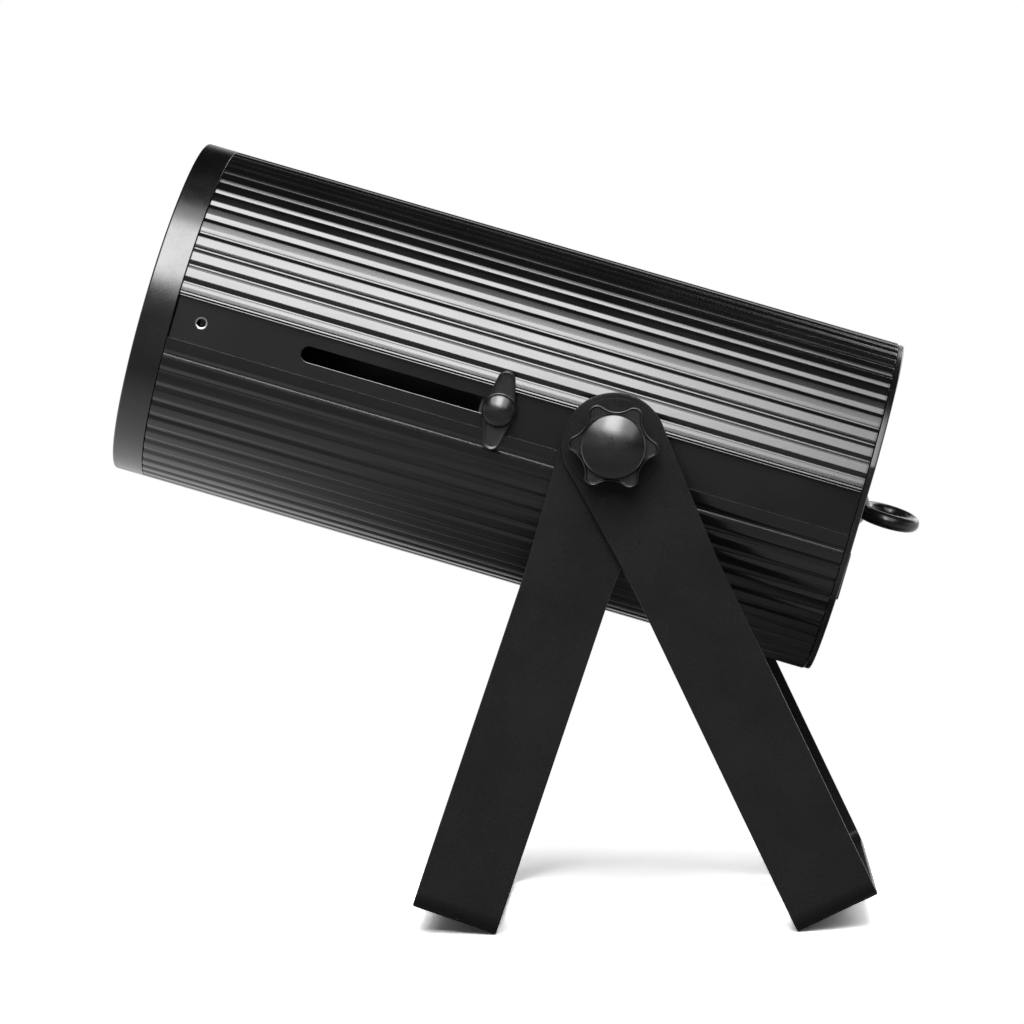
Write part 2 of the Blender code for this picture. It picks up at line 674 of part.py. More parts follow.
def build_eye(head, materials):
    seat = PLATE_REAR + GAP
    centre = seat + EYE_HEIGHT - EYE_OUTER / 2
    profile = circle(EYE_ROD, 10, ((EYE_OUTER + EYE_INNER) / 4, 0))
    bow = ring(profile, 28, "Z")
    bmesh.ops.rotate(bow, verts=bow.verts, matrix=Matrix.Rotation(EYE_TURN, 3, "Y"))
    eye = make_object("eye_bolt", bow, head, materials["powder_black"], (0, centre, 0))
    stem = [
        (EYE_STUD / 2, seat - EYE_STUD_LENGTH - centre),
        (EYE_STUD / 2, seat - centre),
        (EYE_COLLAR / 2, seat - centre),
        (EYE_COLLAR / 2, seat + 0.4 * EYE_COLLAR_HEIGHT - centre),
        (EYE_ROD, seat + EYE_COLLAR_HEIGHT - centre),
    ]
    combine(eye, "stem", turned(stem, SMALL_SEGMENTS, "Y"), "UNION")
    nut_rear = PLATE_FRONT - GAP
    hexagon = circle(EYE_NUT_WIDTH / math.sqrt(3), 6)
    nut = make_object(
        "eye_bolt_nut",
        prism(hexagon, nut_rear - EYE_NUT_THICK, nut_rear, "Y"),
        head,
        materials["zinc_steel"],
    )
    bore = circle(EYE_STUD / 2 + GAP, SMALL_SEGMENTS)
    combine(nut, "bore", prism(bore, nut_rear - 2 * EYE_NUT_THICK, nut_rear + OVERCUT, "Y"))


# Rear panel fittings


def build_sockets(head, materials):
    seat = PLATE_REAR + GAP
    face = seat + SOCKET_FLANGE
    for name, (x, z) in socket_places().items():
        wide, tall = SOCKET_WIDTH / 2 - SOCKET_CORNER, SOCKET_HEIGHT / 2 - SOCKET_CORNER
        outline = []
        for k, (sx, sz) in enumerate(((1, 1), (-1, 1), (-1, -1), (1, -1))):
            quarter = math.pi / 2
            centre = (sx * wide, sz * tall)
            outline += arc(centre, SOCKET_CORNER, k * quarter, (k + 1) * quarter, 2)
        socket = make_object(
            name, prism(outline, seat, face, "Y"), head, materials["socket_black"], (x, 0, z)
        )
        barrel = circle(SOCKET_BARREL, SMALL_SEGMENTS)
        barrel_end = face - SOCKET_FLANGE / 2
        combine(socket, "barrel", prism(barrel, face - SOCKET_DEPTH, barrel_end, "Y"), "UNION")
        recess = circle(SOCKET_RECESS, SMALL_SEGMENTS)
        bottom = face - SOCKET_RECESS_DEPTH
        combine(socket, "recess", prism(recess, bottom, face + OVERCUT, "Y"))
    profile = [
        (FUSE_BARREL, seat - FUSE_DEPTH),
        (FUSE_BARREL, seat),
        (FUSE_RADIUS, seat),
        (FUSE_RADIUS, seat + 0.6 * SOCKET_FLANGE),
        (0.8 * FUSE_RADIUS, seat + SOCKET_FLANGE),
    ]
    fuse = turned(profile, SMALL_SEGMENTS, "Y")
    make_object("fuse_holder", fuse, head, materials["socket_black"], (0, 0, FUSE_PLACE))


def build_controls(head, materials):
    board_rear = PLATE_FRONT - BOARD_OFFSET
    board = rectangle(BOARD_WIDTH, BOARD_HEIGHT, (0, BOARD_PLACE))
    make_object(
        "control_board",
        prism(board, board_rear - BOARD_THICK, board_rear, "Y"),
        head,
        materials["board_green"],
    )
    window = rectangle(WINDOW_WIDTH, WINDOW_HEIGHT, (0, WINDOW_PLACE))
    make_object(
        "display_window",
        prism(window, board_rear + GAP, PLATE_REAR + WINDOW_PROUD, "Y"),
        head,
        materials["window_dark"],
    )
    for i, (x, z) in enumerate(button_places(), 1):
        front = board_rear + GAP + BUTTON_TRAVEL
        pivot = make_empty(f"button_slide_{i}", head, (x, PLATE_REAR, z))
        profile = [
            (BUTTON_RADIUS, front - PLATE_REAR),
            (BUTTON_RADIUS, BUTTON_PROUD - BUTTON_EDGE),
            (BUTTON_RADIUS - BUTTON_EDGE, BUTTON_PROUD),
        ]
        make_object(
            f"menu_button_{i}",
            turned(profile, SMALL_SEGMENTS, "Y"),
            pivot,
            materials["button_grey"],
        )


# Light engine and driver


def build_engine(head, materials):
    outline = circle(PORT_REACH - GAP, MIDDLE_SEGMENTS)
    plate = make_object(
        "led_mount_plate",
        prism(outline, MOUNT_PLATE_FRONT, MOUNT_PLATE_REAR, "Y"),
        head,
        materials["bare_aluminium"],
    )
    holes = bmesh.new()
    for side in (-1, 1):
        hole = circle(ROD_RADIUS + GAP, SMALL_SEGMENTS, (0, side * ROD_PLACE))
        prism(hole, MOUNT_PLATE_FRONT - OVERCUT, MOUNT_PLATE_REAR - ROD_FLOOR, "Y", holes)
    combine(plate, "rod_holes", holes)

    board_front = EMITTER_REAR + GAP
    board = rectangle(LED_BOARD_SIZE, LED_BOARD_SIZE)
    make_object(
        "led_board",
        prism(board, board_front, MOUNT_PLATE_FRONT - GAP, "Y"),
        head,
        materials["ceramic_white"],
    )
    make_object(
        "led_emitter",
        prism(circle(EMITTER_RADIUS, KNOB_SEGMENTS), EMITTER_REAR - EMITTER_THICK, EMITTER_REAR, "Y"),
        head,
        materials["phosphor"],
    )
    profile = [
        (REFLECTOR_SMALL, EMITTER_REAR),
        (REFLECTOR_SMALL + REFLECTOR_WALL, EMITTER_REAR),
        (REFLECTOR_LARGE + REFLECTOR_WALL, REFLECTOR_FRONT),
        (REFLECTOR_LARGE, REFLECTOR_FRONT),
    ]
    make_object(
        "reflector", ring(profile, KNOB_SEGMENTS, "Y"), head, materials["mirror_finish"]
    )

    outline = []
    half_root = math.asin(SINK_FIN_THICK / 2 / SINK_HUB)
    half_tip = math.asin(SINK_FIN_THICK / 2 / SINK_RADIUS)
    for i in range(SINK_FINS):
        middle = math.tau * (i + 0.5) / SINK_FINS
        for radius, angle in (
            (SINK_HUB, middle - half_root),
            (SINK_RADIUS, middle - half_tip),
            (SINK_RADIUS, middle + half_tip),
            (SINK_HUB, middle + half_root),
        ):
            outline.append((radius * math.cos(angle), radius * math.sin(angle)))
    make_object(
        "heat_sink",
        prism(outline, SINK_FRONT, SINK_FRONT + SINK_LENGTH, "Y"),
        head,
        materials["bare_aluminium"],
    )


def build_driver(head, materials):
    half = math.sqrt(TUBE_BORE**2 - TRAY_HEIGHT**2) - 2 * GAP
    tray = [
        (-half, TRAY_HEIGHT),
        (half, TRAY_HEIGHT),
        (half, TRAY_HEIGHT + TRAY_THICK),
        (-half, TRAY_HEIGHT + TRAY_THICK),
    ]
    make_object(
        "driver_tray",
        prism(tray, TRAY_FRONT, TRAY_FRONT + TRAY_LENGTH, "Y"),
        head,
        materials["bare_aluminium"],
    )
    top = TRAY_HEIGHT + TRAY_THICK
    case = rectangle(DRIVER_WIDTH, DRIVER_HEIGHT, (0, top + GAP + DRIVER_HEIGHT / 2))
    front = TRAY_FRONT + TRAY_MARGIN
    make_object(
        "led_driver",
        prism(case, front, front + DRIVER_LENGTH, "Y"),
        head,
        materials["case_grey"],
    )


# Zoom carriage


def lens_profile():
    """Flat back, ridged front: each ridge rises outwards to a step, as on a Fresnel lens."""
    rim = LENS_RADIUS - LENS_LIP
    step = rim / LENS_RIDGES
    front = -LENS_THICK / 2
    points = [(0.1 * step, LENS_THICK / 2), (LENS_RADIUS, LENS_THICK / 2)]
    points += [(LENS_RADIUS, front), (rim, front)]
    for i in range(LENS_RIDGES - 1, 0, -1):
        points += [(i * step + 0.06 * step, front - LENS_RIDGE), (i * step - 0.06 * step, front)]
    return points + [(0.1 * step, front - LENS_RIDGE)]


def build_carriage(head, materials):
    zoom = make_empty("zoom_carriage", head, (0, ZOOM_REST, 0))
    rear = CELL_LENGTH / 2
    seat = rear - CELL_LIP
    profile = [
        (LENS_RADIUS - LENS_LIP, rear),
        (CELL_RADIUS, rear),
        (CELL_RADIUS, -rear),
        (LENS_RADIUS + GAP, -rear),
        (LENS_RADIUS + GAP, seat),
        (LENS_RADIUS - LENS_LIP, seat),
    ]
    cell = make_object(
        "lens_cell", ring(profile, MIDDLE_SEGMENTS, "Y"), zoom, materials["knob_black"]
    )
    lugs, holes = bmesh.new(), bmesh.new()
    root = CELL_RADIUS - LUG_ROOT
    for side in (-1, 1):
        middle = side * (root + LUG_REACH) / 2
        lug = rectangle(LUG_WIDTH, LUG_REACH - root, (0, middle))
        prism(lug, -rear + LUG_INSET, rear - LUG_INSET, "Y", lugs)
        hole = circle(ROD_RADIUS + GAP, SMALL_SEGMENTS, (0, side * ROD_PLACE))
        prism(hole, -2 * rear, 2 * rear, "Y", holes)
    combine(cell, "lugs", lugs, "UNION")
    combine(cell, "rod_holes", holes)

    lens_rear = seat - GAP
    lens = turned(lens_profile(), MIDDLE_SEGMENTS, "Y")
    lens_middle = (0, lens_rear - LENS_THICK / 2, 0)
    make_object("fresnel_lens", lens, zoom, materials["lens_acrylic"], lens_middle)
    ring_rear = lens_rear - LENS_THICK - GAP
    clip = washer_profile(
        LENS_RADIUS - LENS_RING_WIDTH, LENS_RADIUS, ring_rear - LENS_RING_THICK, ring_rear
    )
    make_object(
        "lens_retaining_ring", ring(clip, MIDDLE_SEGMENTS, "Y"), zoom, materials["black_steel"]
    )

    build_wing(zoom, materials)
    return zoom


def build_wing(zoom, materials):
    """Slide block, stud and wing knob on the slotted side of the carriage."""
    inner, outer = CELL_RADIUS + GAP, BAND_INSIDE - GAP
    block = make_object(
        "slide_block",
        prism(rectangle(SHOE_LENGTH, SHOE_HEIGHT), inner, outer, "X"),
        zoom,
        materials["zinc_steel"],
    )
    boss = circle(SLOT_WIDTH / 2 - GAP, SMALL_SEGMENTS)
    reach = BAND_FACE - GAP
    combine(block, "boss", prism(boss, outer - OVERCUT, reach, "X"), "UNION")
    bore = circle(WING_STUD_RADIUS + GAP, SMALL_SEGMENTS)
    bore_start = inner + SHOE_FLOOR
    combine(block, "thread", prism(bore, bore_start, reach + OVERCUT, "X"))

    pivot = make_empty("wing_knob_axis", zoom, (BAND_FACE, 0, 0))
    under = TUBE_RADIUS + WING_CLEARANCE - BAND_FACE
    top = under + WING_THICK
    knob = make_object(
        "wing_knob",
        prism(wing_outline(), under, top - WING_SINK, "X"),
        pivot,
        materials["knob_black"],
    )
    profile = [
        (WING_COLLAR_RADIUS - WING_COLLAR_EDGE, GAP),
        (WING_COLLAR_RADIUS, GAP + WING_COLLAR_EDGE),
        (WING_COLLAR_RADIUS, top),
    ]
    for k in range(4):
        angle = math.pi / 2 * k / 4
        height = top + WING_DOME_HEIGHT * math.sin(angle)
        profile.append((WING_DOME_RADIUS * math.cos(angle), height))
    profile.append((0.1 * WING_DOME_RADIUS, top + WING_DOME_HEIGHT))
    combine(knob, "collar", turned(profile, KNOB_SEGMENTS, "X"), "UNION")
    hole_end = under + WING_THICK / 2 + GAP
    combine(knob, "stud_hole", prism(bore, -OVERCUT, hole_end, "X"))

    stud = circle(WING_STUD_RADIUS, SMALL_SEGMENTS)
    stud_start = bore_start - BAND_FACE + GAP
    make_object(
        "wing_stud",
        prism(stud, stud_start, hole_end - GAP, "X"),
        pivot,
        materials["zinc_steel"],
    )


def wing_outline():
    """Two wings with round ends and straight sides that narrow from the collar, at rest."""
    points = []
    tip, root = WING_TIP / 2, WING_ROOT / 2
    reach = WING_SPAN / 2 - tip
    spread = math.acos((root - tip) / reach)  # where the sides touch both circles
    for end in (1, -1):
        start, stop = math.pi / 2 * end - spread, math.pi / 2 * end + spread
        points += [
            (root * math.cos(start), root * math.sin(start)),
            *arc((0, end * reach), tip, start, stop, 6),
            (root * math.cos(stop), root * math.sin(stop)),
        ]
    c, s = math.cos(WING_LEAN), math.sin(WING_LEAN)
    return [(y * c - z * s, y * s + z * c) for y, z in points]


def build_rods(head, materials):
    for side, name in ((1, "top"), (-1, "bottom")):
        rod = circle(ROD_RADIUS, SMALL_SEGMENTS, (0, side * ROD_PLACE))
        front, rear = RETAINER_FRONT + ROD_FLOOR + GAP, MOUNT_PLATE_REAR - ROD_FLOOR - GAP
        make_object(
            f"guide_rod_{name}", prism(rod, front, rear, "Y"), head, materials["zinc_steel"]
        )


# Pivot


def star_outline(grow):
    """The clamping knob's outline, blunt lobes joined by hollow arcs, moved out by grow."""
    half = math.pi / STAR_LOBES
    reach = STAR_TIP - STAR_NOSE
    along, across = reach * math.cos(half), reach * math.sin(half)
    slack = STAR_VALLEY - STAR_NOSE
    place = (along**2 + across**2 - slack**2) / (2 * (along - slack))
    lean = math.atan2(place * math.sin(half), place * math.cos(half) - reach)
    points = []
    for i in range(STAR_LOBES):
        turn = 2 * half * i + STAR_TURN
        nose = (reach * math.cos(turn), reach * math.sin(turn))
        points += arc(nose, STAR_NOSE + grow, turn - lean, turn + lean, NOSE_STEPS)
        middle = (place * math.cos(turn + half), place * math.sin(turn + half))
        start, end = turn + lean + math.pi, turn + 2 * half - lean + math.pi
        points += arc(middle, place - STAR_VALLEY - grow, start, end, HOLLOW_STEPS)[1:-1]
    return points


def build_pivot(head, side, name, materials):
    outer = BAND_INSIDE - GAP
    inner = outer - BLOCK_THICK
    block = make_object(
        f"pivot_block_{name}",
        prism(rectangle(BLOCK_LENGTH, BLOCK_HEIGHT), side * inner, side * outer, "X"),
        head,
        materials["zinc_steel"],
    )
    hole = circle(STUD_RADIUS + GAP, SMALL_SEGMENTS)
    ends = (side * (inner - OVERCUT), side * (outer + OVERCUT))
    combine(block, "thread", prism(hole, *ends, "X"))
    stud = prism(circle(STUD_RADIUS, SMALL_SEGMENTS), side * inner, side * STUD_END, "X")
    make_object(f"pivot_stud_{name}", stud, head, materials["zinc_steel"])
    rings = (
        ("pivot_spacer", SPACER_RADIUS, BAND_FACE + GAP, SHOULDER - GAP, "powder_black"),
        ("outer_washer", OUTER_WASHER_RADIUS, REAR_YOKE_FACE + GAP, OUTER_WASHER_FACE, "fibre"),
    )
    for piece, radius, low, high, finish in rings:
        profile = washer_profile(STUD_RADIUS + GAP, radius, side * low, side * high)
        make_object(f"{piece}_{name}", ring(profile, KNOB_SEGMENTS, "X"), head, materials[finish])
    build_star(head, side, name, materials)


def build_star(head, side, name, materials):
    pivot = make_empty(f"star_knob_axis_{name}", head, (side * KNOB_BASE, 0, 0))
    low, high = STAR_HUB_HEIGHT, STAR_HUB_HEIGHT + STAR_BODY_HEIGHT
    levels = (
        (-STAR_EDGE, low),
        (0, low + STAR_EDGE),
        (0, high - STAR_EDGE),
        (-0.4 * STAR_EDGE, high - 0.4 * STAR_EDGE),
        (-1.6 * STAR_EDGE, high),
    )
    loops = [flat_loop(star_outline(grow), side * level, "X") for grow, level in levels]
    knob = make_object(
        f"star_knob_{name}", loft(bmesh.new(), loops), pivot, materials["knob_black"]
    )
    hub = circle(STAR_HUB_RADIUS, KNOB_SEGMENTS)
    combine(knob, "hub", prism(hub, 0, side * (low + STAR_EDGE), "X"), "UNION")
    hole = circle(STUD_RADIUS + GAP, SMALL_SEGMENTS)
    depth = STUD_ENGAGEMENT + GAP
    combine(knob, "thread", prism(hole, -side * OVERCUT, side * depth, "X"))
    base = high + GAP
    profile = [(STAR_CAP_RADIUS, side * base), (STAR_CAP_RADIUS, side * (base + STAR_CAP_EDGE))]
    for k in range(1, 5):
        angle = math.pi / 2 * k / 5
        height = base + STAR_CAP_EDGE + (STAR_CAP_HEIGHT - STAR_CAP_EDGE) * math.sin(angle)
        profile.append((STAR_CAP_RADIUS * math.cos(angle), side * height))
    cap = turned(profile, KNOB_SEGMENTS, "X")
    make_object(f"star_knob_cap_{name}", cap, pivot, materials["cap_black"])


# Yokes


def arm_sections(face, length):
    """Sections of a yoke's right half from the top of its round head to the bridge.

    Each is (half width, outer point, inner point), with the points in the X-Z plane.
    """
    half = STRAP_WIDTH / 2
    inner = face - STRAP_THICK
    distance = math.hypot(YOKE_TAPER, half)
    tangent = math.acos(YOKE_HEAD_RADIUS / distance) - math.atan2(YOKE_TAPER, half)
    sections = []
    for width, height in arc((0, 0), YOKE_HEAD_RADIUS, YOKE_TOP, tangent, 10):
        sections.append((width, (face, height), (inner, height)))
    sections.append((half, (face, -YOKE_TAPER), (inner, -YOKE_TAPER)))
    centre = (face - YOKE_BEND, YOKE_BEND - length)
    outer_bend = arc(centre, YOKE_BEND, 0, -math.pi / 2, 6)
    inner_bend = arc(centre, YOKE_BEND - STRAP_THICK, 0, -math.pi / 2, 6)
    sections += [(half, outside, inside) for outside, inside in zip(outer_bend, inner_bend)]
    return sections


def build_yoke(name, parent, face, length, materials):
    """A flat strap bent to a U, with its two arms ending in round heads."""
    loops = []
    for width, (x_out, z_out), (x_in, z_in) in arm_sections(face, length):
        loops.append(
            [
                Vector((x_out, -width, z_out)),
                Vector((x_out, width, z_out)),
                Vector((x_in, width, z_in)),
                Vector((x_in, -width, z_in)),
            ]
        )
    mirrored = [[Vector((-p.x, p.y, p.z)) for p in loop] for loop in loops]
    strap = loft(bmesh.new(), loops + mirrored[::-1])
    yoke = make_object(name, strap, parent, materials["powder_black"])
    across = face + OVERCUT
    cutter = prism(circle(STUD_RADIUS + GAP, SMALL_SEGMENTS), -across, across, "X")
    clamp = circle(CLAMP_HOLE_RADIUS, SMALL_SEGMENTS)
    prism(clamp, -length - OVERCUT, -length + STRAP_THICK + OVERCUT, "Z", cutter)
    combine(yoke, "holes", cutter)


def build_yokes(materials):
    pivot = (0, PIVOT_Y, PIVOT_HEIGHT)
    rear_lean = rear_yoke_lean()
    front = make_empty("front_yoke_axis", None, pivot, (-FRONT_LEAN, 0, 0))
    rear = make_empty("rear_yoke_axis", None, pivot, (rear_lean, 0, 0))
    build_yoke("front_yoke", front, YOKE_FACE, YOKE_LENGTH, materials)
    build_yoke("rear_yoke", rear, REAR_YOKE_FACE, REAR_YOKE_LENGTH, materials)
    for side, name in ((-1, "left"), (1, "right")):
        low = YOKE_FACE + GAP
        profile = washer_profile(
            STUD_RADIUS + GAP, WASHER_RADIUS, side * low, side * (low + WASHER_THICK)
        )
        washer = ring(profile, KNOB_SEGMENTS, "X")
        make_object(f"friction_washer_{name}", washer, front, materials["fibre"])


def rear_yoke_lean():
    """The lean at which the rear yoke's lower edge stands on the same floor as the front's."""
    half = STRAP_WIDTH / 2
    reach = math.hypot(REAR_YOKE_LENGTH, half)
    return math.acos(PIVOT_HEIGHT / reach) + math.atan2(half, REAR_YOKE_LENGTH)


def main():
    clear_scene()
    materials = make_materials()
    build_yokes(materials)
    head = make_empty("head", None, (0, PIVOT_Y, PIVOT_HEIGHT), (-TILT, 0, 0))
    build_shells(head, materials)
    build_front(head, materials)
    build_rear(head, materials)
    build_eye(head, materials)
    build_sockets(head, materials)
    build_controls(head, materials)
    build_engine(head, materials)
    build_driver(head, materials)
    build_rods(head, materials)
    build_carriage(head, materials)
    for side, name in ((-1, "left"), (1, "right")):
        build_pivot(head, side, name, materials)


main()
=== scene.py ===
"""Looks of the LED house light: fine surfaces, materials, floor, light and camera."""

import json
import math

import bmesh
import bpy
from mathutils import Matrix, Vector


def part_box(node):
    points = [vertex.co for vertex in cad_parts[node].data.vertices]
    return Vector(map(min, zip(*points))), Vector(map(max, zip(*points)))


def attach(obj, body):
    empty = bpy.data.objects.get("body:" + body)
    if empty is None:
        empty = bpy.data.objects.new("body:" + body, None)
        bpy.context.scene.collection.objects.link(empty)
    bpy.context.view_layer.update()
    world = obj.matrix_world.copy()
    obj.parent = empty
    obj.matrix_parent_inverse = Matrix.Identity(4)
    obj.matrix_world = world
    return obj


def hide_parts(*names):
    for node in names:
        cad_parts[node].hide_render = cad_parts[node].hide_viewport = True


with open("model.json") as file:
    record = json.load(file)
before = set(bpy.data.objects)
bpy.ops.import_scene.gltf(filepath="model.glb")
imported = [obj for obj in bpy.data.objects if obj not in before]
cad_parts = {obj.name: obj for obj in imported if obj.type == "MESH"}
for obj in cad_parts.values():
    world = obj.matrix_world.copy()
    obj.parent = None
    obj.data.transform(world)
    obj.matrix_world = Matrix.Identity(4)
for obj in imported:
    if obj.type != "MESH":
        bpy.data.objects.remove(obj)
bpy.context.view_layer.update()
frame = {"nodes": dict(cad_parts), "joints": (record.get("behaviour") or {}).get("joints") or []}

MM = 0.001
GAP = 0.3 * MM
OVERCUT = 1 * MM  # how far a cutter runs past the face that it opens
QUARTER = math.pi / 2
SHARP = 32  # degrees between faces from which an edge shades as sharp
NORMAL_WEIGHT = 80

# Stance and main sizes, as in the solids
TILT = math.radians(17.3)
FRONT_LEAN = math.radians(19.7)
PIVOT = Vector(next(j for j in frame["joints"] if j["name"] == "head_tilt")["pos_m"])
HEAD = Matrix.Translation(PIVOT) @ Matrix.Rotation(-TILT, 4, "X")
YOKE_LENGTH = 316 * MM
REAR_YOKE_LENGTH = 324.5 * MM
STRAP_WIDTH = 55.4 * MM
STRAP_THICK = 4 * MM
STRAP_EDGE = 0.9 * MM
YOKE_HEAD_RADIUS = 32.7 * MM
YOKE_HEAD_START = math.radians(89)
YOKE_TAPER = 90 * MM
YOKE_BEND = 12 * MM
YOKE_FACE = 132 * MM
REAR_YOKE_FACE = 137.8 * MM
STUD_HOLE = 5.3 * MM
CLAMP_HOLE = 6.5 * MM
CLAMP_FLARE = 1.4 * MM
CLAMP_EDGE = 0.4 * MM

TUBE_RADIUS = 110 * MM
TUBE_BORE = 105.5 * MM
BORE_STEPS = 180
RIB_PITCH = math.radians(6)
# Slope of a rib's side by distance from the middle of its groove, in mm
RIB_SLOPE = (
    (0, 0), (0.3, 0.12), (0.6, 0.45), (1.1, 0.43), (1.5, 0.35), (2.7, 0.305), (3.2, 0.12), (3.7, 0),
)
POINTS_PER_RIB = 36
LAST_POINT = 0.4  # of a step, the least distance from a rib's last point to the edge
BAND_FACE = 104.8 * MM
BAND_INSIDE = 100.8 * MM
BAND_HALF = 14.1 * MM
SEAM_HEIGHT = 14.9 * MM
LIP_HEIGHT = 0.6 * MM
LIP_ROUND = 0.4 * MM
DENT_HEIGHT = 1.4 * MM
DENT_DEPTH = 0.13 * MM
DENT_RISE = 0.1 * MM
DENT_END = 0.3 * MM
LEDGE_EDGE = 0.05 * MM
CREST_DROP = 1 * MM
CREST_END = math.radians(9.7)  # no groove from the band down to this angle
RIDGE_FACE = 108.5 * MM
RIDGE_HEIGHT = 0.95 * MM
RIDGE_ROUND = 0.9 * MM
LOWER_SHIFT = math.radians(0.7)
TONGUE_WIDTH = 1.5 * MM
TONGUE_HEIGHT = 0.27 * MM
SHELL_FRONT = -289.5 * MM
SHELL_REAR = 157 * MM
SHELL_EDGE = 0.35 * MM
SHELL_ROW = 2 * MM  # from each end to the row that keeps the flanks' shading even
THREAD_HOLE = 2.9 * MM
THREAD_CHAMFER = 1 * MM
THREAD_PLACE = -271.6 * MM
CHAMFER_DEPTH = 0.45  # of the chamfer's width
HOLE_DEPTH = 3 * MM  # how far the side holes' cutters run past the band on either side
SLOT_WIDTH = 10 * MM
SLOT_FRONT = -205.8 * MM
SLOT_REAR = -70.2 * MM
SLOT_EDGE = 0.4 * MM
ZOOM_REST = -75.5 * MM
PORTS = [math.radians(a) for a in (50, 130, 230, 310)]
PORT_CENTRE = 103.5 * MM
PORT_RADIUS = 5 * MM
PORT_MARGIN = 1.1

RING_FRONT = -309.8 * MM
RING_LIP = 3 * MM
RING_APERTURE = 91 * MM
RING_ROUND = 1.4 * MM
RING_EDGE = 0.5 * MM
SPIGOT_RADIUS = 98.2 * MM
SPIGOT_BORE = 95.2 * MM
SPIGOT_LENGTH = 8 * MM
SEAL_THICK = 1.5 * MM
GLASS_FRONT = -304.7 * MM
GLASS_THICK = 4 * MM
RETAINER_FRONT = -300.4 * MM
RETAINER_THICK = 5 * MM
RETAINER_BORE = 80 * MM
ROD_PLACE = 87.5 * MM
ROD_HOLE = 4.3 * MM

PLATE_FRONT = 157.3 * MM
PLATE_REAR = 161.3 * MM
PLATE_RADIUS = 109.4 * MM
PLATE_FLAT = 105.3 * MM
HOLE_EDGE = 0.3 * MM
SEAT = PLATE_REAR + GAP
SOCKETS = [((i - 1.5) * 36 * MM, -42 * MM) for i in range(4)]
SOCKET_HOLE = 12.3 * MM
SOCKET_DEPTH = 12 * MM
FLANGE_REACH = 14 * MM
BUTTONS = [((i - 1.5) * 17 * MM, 44 * MM) for i in range(4)]
BUTTON_HOLE = 4.3 * MM
FUSE = (0, -80 * MM)
FUSE_HOLE = 6.3 * MM
WINDOW = (0, 66 * MM)
EYE_OUTER = 42.4 * MM
EYE_INNER = 22.6 * MM
EYE_SINK = 0.35 * MM
EYE_TURN = math.radians(8)

EMITTER_REAR = -42.3 * MM
REFLECTOR_WALL = 1.5 * MM
REFLECTOR_LENGTH = 20 * MM
REFLECTOR_STEPS = 12
CELL_RADIUS = 80 * MM
CELL_OPENING = 70 * MM
CELL_BORE = 75.3 * MM
CELL_HALF = 8 * MM
CELL_LIP = 2 * MM
LENS_RADIUS = 75 * MM
LENS_THICK = 5 * MM
LENS_RIDGE = 0.9 * MM
LENS_RIDGES = 34
RIDGE_SIDE = 0.08  # of a ridge's width

WING_TIP = 5.6 * MM
WING_ROOT = 10.2 * MM
WING_REACH = 25.5 * MM
WING_LEAN = math.radians(2.4)
WING_UNDER = 6.7 * MM
WING_TOP = 13.2 * MM
WING_COLLAR = 11 * MM
KNOB_BASE = 139.9 * MM
STAR_TIP = 28 * MM
STAR_VALLEY = 21.6 * MM
STAR_LOBES = 6
STAR_NOSE = 5.4 * MM
STAR_TURN = math.radians(12.5)
STAR_LOW = 6 * MM
STAR_HIGH = 18 * MM

# Start and end along the tube in metres, lowest and highest angle over the camera's side, radiance
SOFT_BOX = (
    ("soft_box", -1.35, 0.1, 18, 61.5, 10),
    ("soft_box_top", -1.35, 0.1, 61.5, 76, 2.2),
    ("soft_box_front", -3.0, -1.35, 18, 70, 4.0),
    ("soft_box_rear", 0.1, 1.5, 18, 68, 2.2),
    ("soft_box_low", -1.35, -0.3, -6, 4, 0.17),
)
BOX_DISTANCE = 3.6
BEHIND_PLACE = (-2.6, 1.8, 1.4)
BEHIND_SIZE = 1.8
BEHIND_RADIANCE = 2.5
ROOM = 0.01
FILL = 0.2
# Where the white backdrop that gloss sees fades out, by direction
BACKDROP_RISE = (0.14, 0.5)
BACKDROP_SIDE = (-0.3, 0.75)
BACKDROP_FRONT = (-0.5, 0.15)
BACKDROP_FRONT_SHARE = 0.35
FLOOR_RADIUS = 12
FLOOR_SEEN = 2.15
FLOOR_SHADE = 0.12
FLOOR_CENTRE = (0, 0.08, 0)
FLOOR_FADE = (0.2, 0.5)
FLOOR_BEHIND = (-0.1, 0.5)
CAMERA_TURN = (-2.498, 2.711, -1.137)  # yaw, pitch and roll in degrees
CAMERA_PLACE = Vector((2941.2, 58.05, 92.58)) * MM  # from the pivot
CAMERA_LENS = 158.7
CAMERA_SENSOR = 36
CAMERA_CLIP = (0.1, 60)

X, Y, Z = Matrix.Identity(3)
PLANES = {"X": (Y, Z, X), "Y": (X, Z, Y), "Z": (X, Y, Z)}
SIDES = ((-1, "left"), (1, "right"))


# Mesh helpers


def polar(radius, angle, centre=(0, 0)):
    return centre[0] + radius * math.cos(angle), centre[1] + radius * math.sin(angle)


def circle(radius, segments, centre=(0, 0), start=0.0):
    step = math.tau / segments
    return [polar(radius, start + i * step, centre) for i in range(segments)]


def arc(centre, radius, start, end, steps):
    return [polar(radius, start + (end - start) * i / steps, centre) for i in range(steps + 1)]


def fillet(before, corner, after, radius, steps=4):
    """Points of the arc that rounds a corner of an outline."""
    corner = Vector(corner)
    to_before = (Vector(before) - corner).normalized()
    to_after = (Vector(after) - corner).normalized()
    half = to_before.angle(to_after) / 2
    reach = radius / math.tan(half)
    centre = corner + (to_before + to_after).normalized() * (radius / math.sin(half))
    start = corner + to_before * reach - centre
    end = corner + to_after * reach - centre
    a = math.atan2(start.y, start.x)
    b = math.atan2(end.y, end.x)
    b = a + (b - a + math.pi) % math.tau - math.pi
    return arc(centre, radius, a, b, steps)


